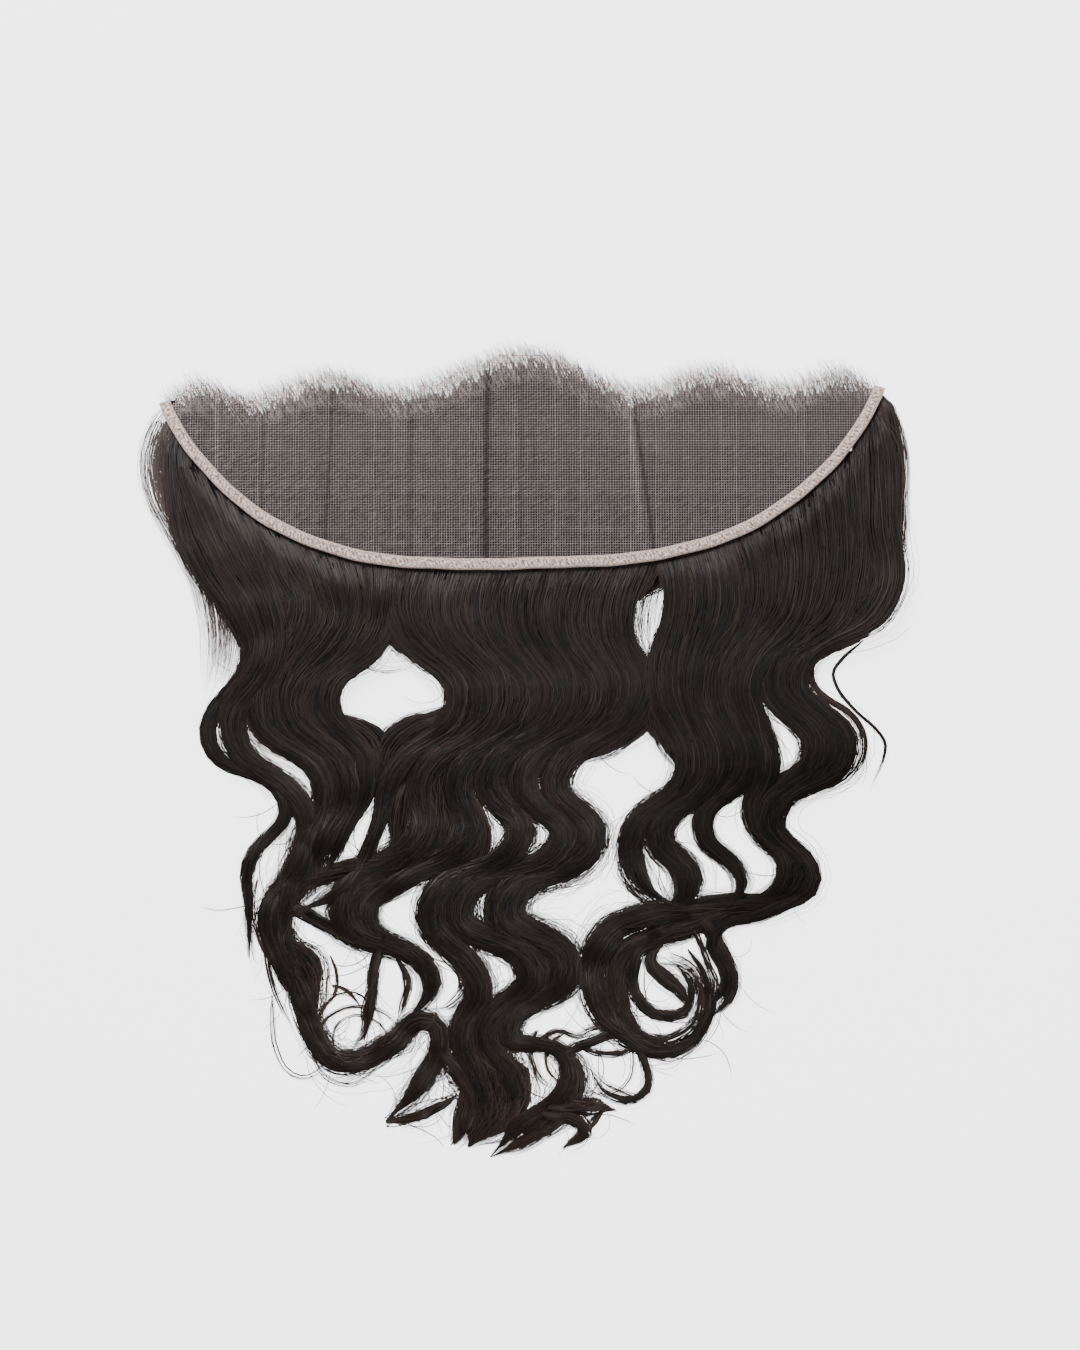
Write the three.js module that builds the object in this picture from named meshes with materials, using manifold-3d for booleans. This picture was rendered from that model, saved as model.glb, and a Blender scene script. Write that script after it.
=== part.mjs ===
// Lace frontal, lying with its hair down on a table and the inner side of the lace up.
// X runs along the hairline, Y from the tips toward the hairline, Z up. Units are millimetres.
import * as THREE from "three";
import Module from "manifold-3d";

// Driving dimensions
const lace_width = 330;
const lace_depth = 102;
const lace_wall = 1;
const corner_lift = 3.4;

const binding_width = 5.4;
const binding_wall = 1;
const clearance = 0.3;

const hair_drop = 272;
const hair_height = 12;
const tip_height = 5;
const least_height = 1.5;
const plumpness = 0.75;
const height_variety = 0.08;
const root_reach = 8;
const root_spread = 0.25;
const spread_share = 0.3;
const hairline_height = 2.5;
const bed_height = 8.5;
const bed_rise_length = 30;

// Resolution
const lace_steps_across = 50;
const lace_steps_deep = 6;
const binding_steps = 36;
const lock_steps_per_bend = 3;
const tidy_tolerance = 0.1;
const cut_tolerance = 0.05;
const cutter_rise = 60;
const fold_limit = 0.8;
const roundness = 1.25;
const root_limit = 5;

// Shape of the lace outline
const corner_share = 0.77;
const rear_fullness = 3.2;
const rear_roundness = 0.833;

// Hairline lobes and dips: place along half the width, rise above the corners as a share of the depth.
const hairline_lobes = [
  { along: -1.0, rise: 0.0 },
  { along: -0.9, rise: 0.085 },
  { along: -0.76, rise: 0.02 },
  { along: -0.53, rise: 0.11 },
  { along: -0.35, rise: 0.04 },
  { along: 0.015, rise: 0.2 },
  { along: 0.33, rise: 0.02 },
  { along: 0.53, rise: 0.095 },
  { along: 0.725, rise: 0.02 },
  { along: 0.88, rise: 0.08 },
  { along: 1.0, rise: 0.0 },
];

// Creases of the lace: place at the hairline and at the binding along half the width, then their rise
// and half width as shares of the lace depth.
const lace_creases = [
  { front: -0.09, back: -0.105, rise: 0.014, spread: 0.05 },
  { front: 0.27, back: 0.355, rise: 0.014, spread: 0.05 },
  { front: -0.71, back: -0.72, rise: 0.007, spread: 0.06 },
  { front: -0.52, back: -0.54, rise: 0.007, spread: 0.06 },
];

// Locks of hair, in percent. Each bend holds its place across (of the lace width, from its middle),
// its place down (of the hair drop, from the binding) and the lock's width there (of the lace width).
// The lean says how far the width turns from straight across, 0, to square to the lock, 1.
const left_locks = [
  { lean: 0.5, bends: [[-48, -23, 3.5], [-48.5, -14.5, 4.5], [-44, -1, 4], [-39, 9.5, 3], [-38, 16, 2],
    [-43.5, 29.5, 2], [-33, 39.5, 2], [-38, 50, 2], [-38, 57, 1.5], [-38, 66, 1]] },
  { lean: 0.5, bends: [[-44, -14.5, 5.5], [-39, -1, 5.5], [-35.5, 7.5, 4.5], [-35, 15, 4], [-40, 28, 3.5],
    [-30.5, 40.5, 3.5], [-30.5, 49.5, 4], [-35, 58.5, 4], [-33, 67, 4], [-30, 74.5, 3], [-28, 81, 2]] },
  { lean: 0.5, bends: [[-36, -8, 6], [-32.5, 0.5, 6], [-30.5, 7.5, 5.5], [-36, 24.5, 4.5], [-27.5, 35.5, 4],
    [-29.5, 46, 4], [-33, 56, 4], [-33, 64.5, 3.5], [-28.5, 73, 3]] },
  { lean: 0.5, bends: [[-28, -3.5, 6], [-25.5, 4, 6], [-25.5, 10, 5], [-32, 23, 4.5], [-24.5, 35, 4],
    [-27.5, 46, 4], [-31.5, 53.5, 3.5]] },
  { lean: 0.5, bends: [[-19, -2, 4], [-19, 5.5, 3.5], [-20.5, 12.5, 3.5], [-27.5, 22, 4], [-21.5, 34, 3],
    [-25, 45.5, 2], [-28, 53, 2]] },
  { lean: 1, bends: [[-31.5, 69, 4.5], [-28.5, 80, 3.5], [-24.5, 83.5, 3.5], [-18, 80.5, 3.5], [-14, 76.5, 3],
    [-11.5, 79.5, 3], [-14.5, 87.5, 3.5], [-19, 93.5, 2]] },
  { lean: 1, bends: [[-19, 93.5, 1.5], [-14.5, 92.5, 1.5], [-11, 90.5, 1.5], [-9, 89, 1]] },
];

const centre_locks = [
  { lean: 0.5, bends: [[-15, -1, 5], [-16, 9.5, 4.5], [-8.5, 22.5, 4], [-17.5, 34, 3.5], [-20.5, 45, 2],
    [-24.5, 54, 3], [-28, 56.5, 3]] },
  { lean: 0.5, bends: [[-9.5, -0.5, 6], [-10.5, 9.5, 5.5], [-4, 22.5, 4.5], [-13.5, 34.5, 4.5], [-14, 45.5, 5.5],
    [-24.5, 58, 5.5], [-13, 68.5, 3.5], [-13.5, 74, 2]] },
  { lean: 0.5, bends: [[-3.5, 0, 6], [-5, 9.5, 6], [1, 22.5, 4.5], [-9, 35, 4.5], [-8, 46, 6], [-17, 53, 4],
    [-21.5, 59, 3.5], [-15.5, 64.5, 3]] },
  { lean: 0.5, bends: [[2.5, 0, 6], [1, 9.5, 6], [5.5, 22.5, 4.5], [-4.5, 35, 4.5], [-0.5, 46, 4.5],
    [-12.5, 57, 4.5], [-6, 70.5, 4.5], [-8.5, 79, 4], [-6, 87.5, 4], [-5, 96, 3.5]] },
  { lean: 0.5, bends: [[9, -1, 6], [6.5, 9.5, 6], [10.5, 22.5, 4.5], [0, 35.5, 4.5], [5.5, 46.5, 4.5],
    [-9, 57, 5], [1.5, 68, 6], [-5, 78, 4.5], [-1.5, 87.5, 4.5], [-2.5, 95, 3.5]] },
  { lean: 0.5, bends: [[15, -1, 4.5], [12.5, 9.5, 5], [15, 22, 4.5], [4.5, 35.5, 4.5], [9.5, 46.5, 4.5],
    [-2.5, 57, 7], [6, 67.5, 5.5], [-2, 78, 4], [5.5, 82, 3], [6, 88, 3.5], [-0.5, 94.5, 3.5], [-4.5, 99.5, 1]] },
  { lean: 0.5, bends: [[-19, 62, 2], [-20.5, 67, 1.5], [-21, 73.5, 1.5], [-21.5, 78.5, 1]] },
  { lean: 0.5, bends: [[-8, 82, 3.5], [-7, 89, 2.5], [-8, 94, 2], [-9.5, 97.5, 1]] },
  { lean: 1, bends: [[3.5, 91, 2], [9, 91, 2.5], [13, 91.5, 1]] },
  { lean: 1, bends: [[2.5, 92, 2], [8.5, 94.5, 2], [5.5, 98, 1]] },
  { lean: 1, bends: [[5.5, 82, 2], [9.5, 81.5, 1.5], [13.5, 82, 1.5], [17, 85, 1], [16, 89, 1], [12, 89, 1]] },
];

const right_locks = [
  { lean: 0.5, bends: [[20.5, -2.5, 3.5], [21.5, 6, 3], [19.5, 19.5, 4], [23, 34.5, 4], [15.5, 44.5, 4],
    [16.5, 53, 4.5], [20.5, 57, 3.5]] },
  { lean: 0.5, bends: [[25.5, -3.5, 5.5], [27, 6, 5.5], [23.5, 19.5, 4], [26.5, 34, 4.5], [19, 44.5, 4.5],
    [23, 53, 5], [19, 60.5, 4]] },
  { lean: 0.5, bends: [[31, -6, 6], [32.5, 6, 5.5], [27.5, 19.5, 4], [30.5, 33.5, 4.5], [25, 43.5, 3],
    [30.5, 53, 3], [27.5, 58, 3]] },
  { lean: 0.5, bends: [[37.5, -10.5, 6], [38, 6, 5.5], [31, 19, 4], [34, 33, 3.5], [32, 42, 3], [36.5, 52, 3],
    [29, 57.5, 2]] },
  { lean: 0.5, bends: [[43.5, -16.5, 6], [43.5, 6, 5.5], [35, 18.5, 4], [41, 31, 4.5], [33.5, 42, 3.5],
    [38.5, 52, 3], [31, 57.5, 3]] },
  { lean: 0.5, bends: [[48.5, -24, 4.5], [49, -8, 5], [49, 5.5, 5], [39, 18, 3], [45.5, 31, 5], [35, 42, 3],
    [40, 52.5, 3], [34, 58, 2.5], [26.5, 62, 2], [28.5, 69.5, 3], [25, 75.5, 1]] },
  { lean: 1, bends: [[23.5, 58, 3.5], [16.5, 59, 4], [11, 63.5, 4.5], [10, 71.5, 4], [14, 78.5, 3],
    [20.5, 81.5, 2], [25.5, 76.5, 1.5], [25.5, 69.5, 1.5], [23, 64.5, 2]] },
  { lean: 1, bends: [[19, 61, 3], [15.5, 66.5, 2], [16.5, 73.5, 1.5], [21.5, 75.5, 1.5], [23.5, 71.5, 1]] },
];

// Each panel of hair, with its share of the bed under the lace, as places along half the lace width.
const left_panel = { locks: left_locks, from: -0.97, to: -0.345 };
const centre_panel = { locks: centre_locks, from: -0.345, to: 0.36 };
const right_panel = { locks: right_locks, from: 0.36, to: 0.97 };

// Materials
const hair_colour = 0x241f1e;
const lace_colour = 0xa89a92;
const binding_colour = 0xcdb9b2;

const wasm = await Module();
wasm.setup();
const { Manifold } = wasm;

const half_width = lace_width / 2;
const corner_height = corner_share * lace_depth;
const lace_half = lace_wall / 2;
const binding_half = lace_half + clearance + binding_wall;

const clamp = (value, low, high) => Math.min(high, Math.max(low, value));
const mix = (a, b, t) => a + (b - a) * t;
const ease = (t) => t * t * (3 - 2 * t);

// Outline and height of the lace
function rearEdge(along) {
  const u = clamp(along, -1, 1);
  const bulge = Math.pow(Math.max(0, 1 - Math.pow(Math.abs(u), rear_fullness)), rear_roundness);
  return [u * half_width, corner_height * (1 - bulge) + corner_lift * u];
}

function rearNormal(along) {
  const step = 0.004;
  const [ax, ay] = rearEdge(Math.max(-1, along - step));
  const [bx, by] = rearEdge(Math.min(1, along + step));
  const length = Math.hypot(bx - ax, by - ay);
  return [(by - ay) / length, -(bx - ax) / length];
}

function hairlineY(along) {
  const u = clamp(along, -1, 1);
  const last = hairline_lobes.length - 1;
  const next = clamp(hairline_lobes.findIndex((row) => row.along >= u), 1, last);
  const a = hairline_lobes[next - 1];
  const b = hairline_lobes[next];
  const rise = mix(a.rise, b.rise, ease((u - a.along) / (b.along - a.along)));
  return corner_height + corner_lift * u + rise * lace_depth;
}

function creaseRise(x, y) {
  const along = x / half_width;
  const front = hairlineY(along);
  const back = rearEdge(along)[1];
  const deep = clamp((front - y) / Math.max(1, front - back), 0, 1);
  const fade = ease(clamp((y - back - 2 * binding_width) / (2 * binding_width), 0, 1));
  let rise = 0;
  for (const crease of lace_creases) {
    const centre = mix(crease.front, crease.back, deep) * half_width;
    const offset = (x - centre) / (crease.spread * lace_depth);
    rise += crease.rise * lace_depth * Math.exp(-offset * offset);
  }
  return rise * fade;
}

// Height of the middle of the lace: it climbs from the hairline as the hair beneath it piles up.
function laceHeight(x, y) {
  const behind = Math.max(0, hairlineY(x / half_width) - y);
  const pile = mix(bed_height, hairline_height, Math.exp(-behind / bed_rise_length));
  return pile + clearance + lace_half + creaseRise(x, y);
}

// Closed meshes
function solidFrom(points, faces) {
  const vertProperties = new Float32Array(points.flat());
  const triVerts = new Uint32Array(faces.flat());
  return new Manifold(new wasm.Mesh({ numProp: 3, vertProperties, triVerts }));
}

// A plate over a grid of plan points, between two heights given for each point.
function plate(rows, lowAt, highAt) {
  const count = rows.length;
  const width = rows[0].length;
  const points = [];
  for (const level of [lowAt, highAt]) {
    for (const row of rows) {
      for (const [x, y] of row) points.push([x, y, level(x, y)]);
    }
  }
  const at = (level, i, j) => (level * count + i) * width + j;
  const faces = [];
  const quad = (a, b, c, d) => faces.push([a, b, c], [a, c, d]);
  for (let i = 0; i < count - 1; i += 1) {
    for (let j = 0; j < width - 1; j += 1) {
      quad(at(1, i, j), at(1, i + 1, j), at(1, i + 1, j + 1), at(1, i, j + 1));
      quad(at(0, i, j), at(0, i, j + 1), at(0, i + 1, j + 1), at(0, i + 1, j));
    }
    quad(at(0, i, 0), at(0, i + 1, 0), at(1, i + 1, 0), at(1, i, 0));
    quad(at(0, i + 1, width - 1), at(0, i, width - 1), at(1, i, width - 1), at(1, i + 1, width - 1));
  }
  for (let j = 0; j < width - 1; j += 1) {
    quad(at(0, 0, j + 1), at(0, 0, j), at(1, 0, j), at(1, 0, j + 1));
    quad(at(0, count - 1, j), at(0, count - 1, j + 1), at(1, count - 1, j + 1), at(1, count - 1, j));
  }
  return solidFrom(points, faces);
}

// Plan points of the lace between two places along it, from the rear edge to the hairline and beyond.
function laceGrid(from, to, steps, beyond) {
  const rows = [];
  for (let i = 0; i <= steps; i += 1) {
    const along = mix(from, to, i / steps);
    const back = rearEdge(along)[1];
    const front = hairlineY(along);
    const row = [];
    for (let j = 0; j <= lace_steps_deep; j += 1) {
      row.push([along * half_width, mix(back, front, j / lace_steps_deep)]);
    }
    if (beyond) row.push([along * half_width, front + beyond]);
    rows.push(row);
  }
  return rows;
}

// Lace
const lace_end = 1 - (clearance + binding_wall + lace_wall) / half_width;

function laceBase() {
  const grid = laceGrid(-lace_end, lace_end, lace_steps_across, 0);
  return plate(grid, (x, y) => laceHeight(x, y) - lace_half, (x, y) => laceHeight(x, y) + lace_half);
}

// Binding: a tape folded over the rear edge of the lace
const binding_outer = clearance + binding_wall;
const binding_inner = binding_outer - binding_width;

// Sweeps a closed section of [outward, height] points along the rear edge.
function alongRear(section) {
  const points = [];
  const faces = [];
  const sides = section.length;
  for (let i = 0; i <= binding_steps; i += 1) {
    const along = Math.sin((i / binding_steps - 0.5) * Math.PI);
    const [x, y] = rearEdge(along);
    const [nx, ny] = rearNormal(along);
    for (const [outward, height] of section) {
      const px = x + nx * outward;
      const py = y + ny * outward;
      points.push([px, py, laceHeight(px, py) + height]);
    }
  }
  for (let i = 0; i < binding_steps; i += 1) {
    for (let k = 0; k < sides; k += 1) {
      const a = i * sides + k;
      const b = i * sides + ((k + 1) % sides);
      faces.push([a, b + sides, b], [a, a + sides, b + sides]);
    }
  }
  const contour = section.map(([outward, height]) => new THREE.Vector2(outward, height));
  const end = binding_steps * sides;
  for (const [a, b, c] of THREE.ShapeUtils.triangulateShape(contour, [])) {
    faces.push([a, b, c], [end + a, end + c, end + b]);
  }
  return solidFrom(points, faces);
}

function edgeBinding() {
  const slot_half = lace_half + clearance;
  return alongRear([
    [binding_outer, -binding_half],
    [binding_outer, binding_half],
    [binding_inner, binding_half],
    [binding_inner, slot_half],
    [clearance, slot_half],
    [clearance, -slot_half],
    [binding_inner, -slot_half],
    [binding_inner, -binding_half],
  ]);
}

// Hair
// Places along a lock: a smooth curve through its bends, with the heading at each set by its neighbours.
function lockStations(lock) {
  const bends = lock.bends.map(([across, down, width]) => ({
    x: (across / 100) * lace_width,
    y: -(down / 100) * hair_drop,
    width: (width / 100) * lace_width,
  }));
  const last = bends.length - 1;
  const headings = bends.map((bend, i) => {
    const a = bends[Math.max(0, i - 1)];
    const b = bends[Math.min(last, i + 1)];
    const length = Math.hypot(b.x - a.x, b.y - a.y);
    return [(b.x - a.x) / length, (b.y - a.y) / length];
  });
  // A lock that grows from the lace starts under it.
  if (bends[0].y > bends[last].y && lock.bends[0][1] < root_limit) {
    bends[0].x -= headings[0][0] * root_reach;
    bends[0].y -= headings[0][1] * root_reach;
  }
  const stations = [];
  for (let i = 0; i < last; i += 1) {
    const a = bends[i];
    const b = bends[i + 1];
    const pull = Math.hypot(b.x - a.x, b.y - a.y) * roundness;
    for (let k = 0; k <= lock_steps_per_bend; k += 1) {
      if (k === lock_steps_per_bend && i < last - 1) continue;
      const t = k / lock_steps_per_bend;
      const s = ease(t);
      const start = t * (1 - t) * (1 - t) * pull;
      const finish = t * t * (t - 1) * pull;
      const x = mix(a.x, b.x, s) + start * headings[i][0] + finish * headings[i + 1][0];
      const y = mix(a.y, b.y, s) + start * headings[i][1] + finish * headings[i + 1][1];
      const spread = root_spread * clamp(1 + y / (spread_share * hair_drop), 0, 1);
      stations.push({ x, y, width: mix(a.width, b.width, s) * (1 + spread) });
    }
  }
  return stations;
}

// Hair is deepest at the binding and thins toward the tips and in narrow locks.
function lockHeight(station, index) {
  const down = clamp(-station.y / hair_drop, 0, 1);
  const full = mix(hair_height, tip_height, down);
  const variety = 1 + height_variety * Math.sin(2.4 * index);
  return Math.min(full * variety, plumpness * station.width + least_height);
}

// Which way the width lies at each place. Where a tight bend would fold the lock over itself, the
// two directions are drawn together, and the width gives way too.
function lockSides(stations, lean) {
  const last = stations.length - 1;
  const sides = stations.map((_, i) => {
    const a = stations[Math.max(0, i - 1)];
    const b = stations[Math.min(last, i + 1)];
    const length = Math.hypot(b.x - a.x, b.y - a.y) || 1;
    const turned = [mix(1, -(b.y - a.y) / length, lean), mix(0, (b.x - a.x) / length, lean)];
    const size = Math.hypot(...turned) || 1;
    return [turned[0] / size, turned[1] / size];
  });
  for (let pass = 0; pass < 40; pass += 1) {
    for (let i = 0; i < last; i += 1) {
      const a = stations[i];
      const b = stations[i + 1];
      const step = Math.hypot(b.x - a.x, b.y - a.y) || 1;
      const aim = [(b.x - a.x) / step, (b.y - a.y) / step];
      const spread = [0, 1].map((k) => (sides[i + 1][k] * b.width - sides[i][k] * a.width) / 2);
      const shift = Math.abs(spread[0] * aim[0] + spread[1] * aim[1]);
      if (shift < fold_limit * step) continue;
      for (const k of [0, 1]) {
        const mean = (sides[i][k] + sides[i + 1][k]) / 2;
        sides[i][k] = mix(sides[i][k], mean, 0.4);
        sides[i + 1][k] = mix(sides[i + 1][k], mean, 0.4);
      }
      a.width *= 0.99;
      b.width *= 0.99;
    }
  }
  return sides;
}

const lock_section = [[-0.5, 0], [0.5, 0], [0.4, 0.6], [0, 1], [-0.4, 0.6]];

function lockSolid(lock, index, grow) {
  const stations = lockStations(lock);
  const sides = lockSides(stations, lock.lean);
  const points = [];
  const faces = [];
  const corners = lock_section.length;
  stations.forEach((station, i) => {
    const width = station.width + 2 * grow;
    const height = lockHeight(station, index) + cutter_rise * grow;
    for (const [side, up] of lock_section) {
      points.push([
        station.x + sides[i][0] * side * width,
        station.y + sides[i][1] * side * width,
        up * height,
      ]);
    }
  });
  for (let i = 0; i < stations.length - 1; i += 1) {
    for (let k = 0; k < corners; k += 1) {
      const a = i * corners + k;
      const b = i * corners + ((k + 1) % corners);
      faces.push([a, b, b + corners], [a, b + corners, a + corners]);
    }
  }
  const end = (stations.length - 1) * corners;
  for (let k = 1; k < corners - 1; k += 1) {
    faces.push([0, k + 1, k], [end, end + k, end + k + 1]);
  }
  return solidFrom(points, faces);
}

function bedSolid(panel, grow) {
  const from = Math.max(-lace_end, panel.from + (clearance / 2 - grow) / half_width);
  const to = Math.min(lace_end, panel.to - (clearance / 2 - grow) / half_width);
  const steps = Math.round((lace_steps_across * (to - from)) / 2);
  const grid = laceGrid(from, to, steps, 0);
  return plate(grid, () => 0, (x, y) => laceHeight(x, y) + cutter_rise * grow);
}

function rawPanel(panel, grow) {
  const pieces = panel.locks.map((lock, index) => lockSolid(lock, index, grow));
  return Manifold.union([bedSolid(panel, grow), ...pieces]);
}

// Everything that the lace and the binding take up, with their clearance and all that is above them.
function laceRoom() {
  const top = 10 * hair_height;
  const grid = laceGrid(-lace_end, lace_end, lace_steps_across, 2 * binding_width);
  const above = plate(grid, (x, y) => laceHeight(x, y) - lace_half - clearance, () => top);
  const tape = alongRear([
    [binding_outer + clearance, -binding_half - clearance],
    [binding_outer + clearance, top],
    [binding_inner - clearance, top],
    [binding_inner - clearance, -binding_half - clearance],
  ]);
  return above.add(tape);
}

function largestBody(solid) {
  const bodies = solid.decompose();
  return bodies.reduce((best, body) => (body.volume() > best.volume() ? body : best));
}

function hairPanel(panel, neighbour, room) {
  let solid = rawPanel(panel, 0).simplify(tidy_tolerance).subtract(room);
  if (neighbour) solid = solid.subtract(rawPanel(neighbour, clearance + tidy_tolerance / 2));
  return largestBody(solid.simplify(cut_tolerance));
}

// Assembly
function meshFrom(solid, name, colour) {
  const { numProp, vertProperties, triVerts } = solid.getMesh();
  const positions = [];
  for (let i = 0; i < vertProperties.length; i += numProp) {
    positions.push(vertProperties[i], vertProperties[i + 1], vertProperties[i + 2]);
  }
  const geometry = new THREE.BufferGeometry();
  geometry.setAttribute("position", new THREE.Float32BufferAttribute(positions, 3));
  geometry.setIndex([...triVerts]);
  geometry.computeVertexNormals();
  const material = new THREE.MeshStandardMaterial({ color: colour, roughness: 0.7, metalness: 0 });
  const mesh = new THREE.Mesh(geometry, material);
  mesh.name = name;
  return mesh;
}

const room = laceRoom();
const frontal = new THREE.Group();
frontal.name = "lace_frontal";
frontal.add(
  meshFrom(laceBase(), "lace_base", lace_colour),
  meshFrom(edgeBinding(), "edge_binding", binding_colour),
  meshFrom(hairPanel(left_panel, null, room), "hair_left", hair_colour),
  meshFrom(hairPanel(centre_panel, left_panel, room), "hair_centre", hair_colour),
  meshFrom(hairPanel(right_panel, centre_panel, room), "hair_right", hair_colour),
);

// The origin is the middle of the bottom of the box around the whole frontal.
const box = new THREE.Box3().setFromObject(frontal);
const middle = box.getCenter(new THREE.Vector3());
for (const mesh of frontal.children) {
  mesh.geometry.translate(-middle.x, -middle.y, -box.min.z);
}

export default frontal;
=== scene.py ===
"""A lace frontal laid out flat, hair down and the inner side of the lace up.

Metres, in the part's own frame: X along the hairline, Y from the tips to the hairline, Z up.
"""
import math
import random

import bpy
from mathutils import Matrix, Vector


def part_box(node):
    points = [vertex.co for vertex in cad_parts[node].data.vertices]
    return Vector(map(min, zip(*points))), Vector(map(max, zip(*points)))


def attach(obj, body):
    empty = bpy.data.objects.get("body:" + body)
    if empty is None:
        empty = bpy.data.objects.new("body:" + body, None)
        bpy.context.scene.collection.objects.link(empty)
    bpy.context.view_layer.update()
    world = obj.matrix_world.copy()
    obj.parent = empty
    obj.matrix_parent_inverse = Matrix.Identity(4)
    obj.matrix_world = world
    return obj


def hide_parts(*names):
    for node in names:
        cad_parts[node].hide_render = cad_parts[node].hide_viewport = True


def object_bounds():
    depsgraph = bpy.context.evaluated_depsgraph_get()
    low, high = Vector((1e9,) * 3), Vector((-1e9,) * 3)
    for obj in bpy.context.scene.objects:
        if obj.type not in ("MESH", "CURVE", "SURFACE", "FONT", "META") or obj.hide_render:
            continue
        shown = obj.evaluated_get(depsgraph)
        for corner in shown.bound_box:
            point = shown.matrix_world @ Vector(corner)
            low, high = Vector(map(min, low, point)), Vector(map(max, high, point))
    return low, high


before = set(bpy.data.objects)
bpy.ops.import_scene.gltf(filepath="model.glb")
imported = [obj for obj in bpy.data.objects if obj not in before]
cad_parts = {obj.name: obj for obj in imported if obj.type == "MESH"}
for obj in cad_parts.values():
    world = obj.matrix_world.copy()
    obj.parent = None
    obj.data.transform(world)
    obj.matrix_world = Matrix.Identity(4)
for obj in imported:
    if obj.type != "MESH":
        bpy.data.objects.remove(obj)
cad_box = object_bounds()

MM = 0.001

# Sizes, as in the part
LACE_WIDTH = 330 * MM
LACE_DEPTH = 102 * MM
CORNER_LIFT = 3.4 * MM
CORNER_SHARE = 0.77
REAR_FULLNESS = 3.2
REAR_ROUNDNESS = 0.833
TAPE_WIDTH = 5.4 * MM
TAPE_OUTER = 1.3 * MM
HAIR_DROP = 272 * MM
HAIR_HEIGHT = 12 * MM
TIP_HEIGHT = 5 * MM
HAIRLINE_HEIGHT = 2.5 * MM
BED_HEIGHT = 8.5 * MM
BED_RISE_LENGTH = 30 * MM
LACE_OVER_BED = 0.8 * MM

# Sizes of the fine detail
NET_PITCH = 1.15 * MM
THREAD_WIDTH = 0.26 * MM
STRAND_WIDTH = 0.29 * MM
THREAD_WEAVE = 0.07 * MM
NET_MARGIN = 5 * MM
NET_RIM = 7 * MM
TAPE_HALF_THICK = 1.45 * MM
TAPE_STATIONS = 240
TAPE_SIDES = 14

# Sizes of the hair's bodies, and how much hair there is
BODY_STEP = 5 * MM
BODY_LEAST_WIDTH = 4 * MM
BODY_BOTTOM = 0.2 * MM
LOWEST_HAIR = 0.3 * MM
UNDER_LACE = 1.9 * MM
LOCK_DENSITY = 13.0
FLYAWAY_DENSITY = 5.5
STRAY_HAIRS = 90
STRAY_STEPS = 14
BABY_HAIRS = 5200
HAIRLINE_STEPS = 300
BED_GUIDES = 90
BED_STRANDS = 84
BED_REACH = 34 * MM
BED_ACROSS = 480
BED_DEEP = 14
BED_BOTTOM = 0.3 * MM
CEILING_STEPS = 160
CEILING_OFFSETS = (12, 7, 4, 1, -1.5, -4, -8, -13, -20, -40, -80)

# The photo in its own pixels: its size, the middle of the tape, and the width of the lace
PHOTO_WIDTH = 1080
PHOTO_HEIGHT = 1350
TAPE_MIDDLE_X = 522.5
TAPE_MIDDLE_Y = 567
LACE_PIXELS = 719
PIXEL = LACE_WIDTH / LACE_PIXELS

# Camera and floor
LENS = 85
SENSOR = 36
FLOOR_REACH = 40

# How locks run: a curve's roundness, reach and spread at the roots, and shares near the ends
ROUNDNESS = 1.25
ROOT_ZONE = 0.05
ROOT_REACH = 8 * MM
ROOT_SPREAD = 0.25
SPREAD_SHARE = 0.3
WISP_HEIGHT = 0.58
BROAD_WISP = 16 * PIXEL
OUTER_LOCK = 46
OUTER_SHIFT = 0.4
OUTER_SHARES = ((0.25, 0.45, 0.55, 0.6, 0.6, 0.6, 0.62, 0.66, 0.72, 0.8, 0.9), (0.25, 0.5, 0.75, 0.9))
END_TAPER = (0.35, 0.65, 0.87, 1.0)
FOLD_ROUNDS = 30
FOLD_LIMIT = 0.8

# Hairline lobes and dips: place along half the width, and rise above the corners in lace depths.
HAIRLINE_LOBES = (
    (-1.0, 0.0), (-0.9, 0.085), (-0.76, 0.02), (-0.53, 0.11), (-0.35, 0.04), (0.015, 0.2),
    (0.33, 0.02), (0.53, 0.095), (0.725, 0.02), (0.88, 0.08), (1.0, 0.0),
)

# Creases: place at the hairline and at the tape, rise and half width in lace depths, tone (below zero
# painted shade in the fold, above zero paler where the lace lies doubled).
CREASES = (
    (-0.090, -0.105, 0.014, 0.030, -0.25),
    (-0.092, -0.107, 0.0, 0.009, -0.9),
    (-0.102, -0.098, 0.0, 0.007, -0.7),
    (0.0, -0.005, 0.0, 0.008, -0.5),
    (0.270, 0.355, 0.014, 0.030, 0.2),
    (0.288, 0.335, 0.003, 0.010, 0.8),
    (0.304, 0.368, 0.0, 0.009, -0.9),
    (-0.71, -0.72, 0.007, 0.030, 0.1),
    (-0.715, -0.725, 0.0, 0.010, -0.6),
    (-0.52, -0.54, 0.007, 0.030, -0.1),
    (-0.525, -0.545, 0.0, 0.009, -0.7),
    (-0.31, -0.31, 0.0, 0.010, -0.45),
    (0.55, 0.56, 0.0, 0.010, 0.35),
    (-0.85, -0.84, 0.0, 0.012, 0.4),
)

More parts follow.
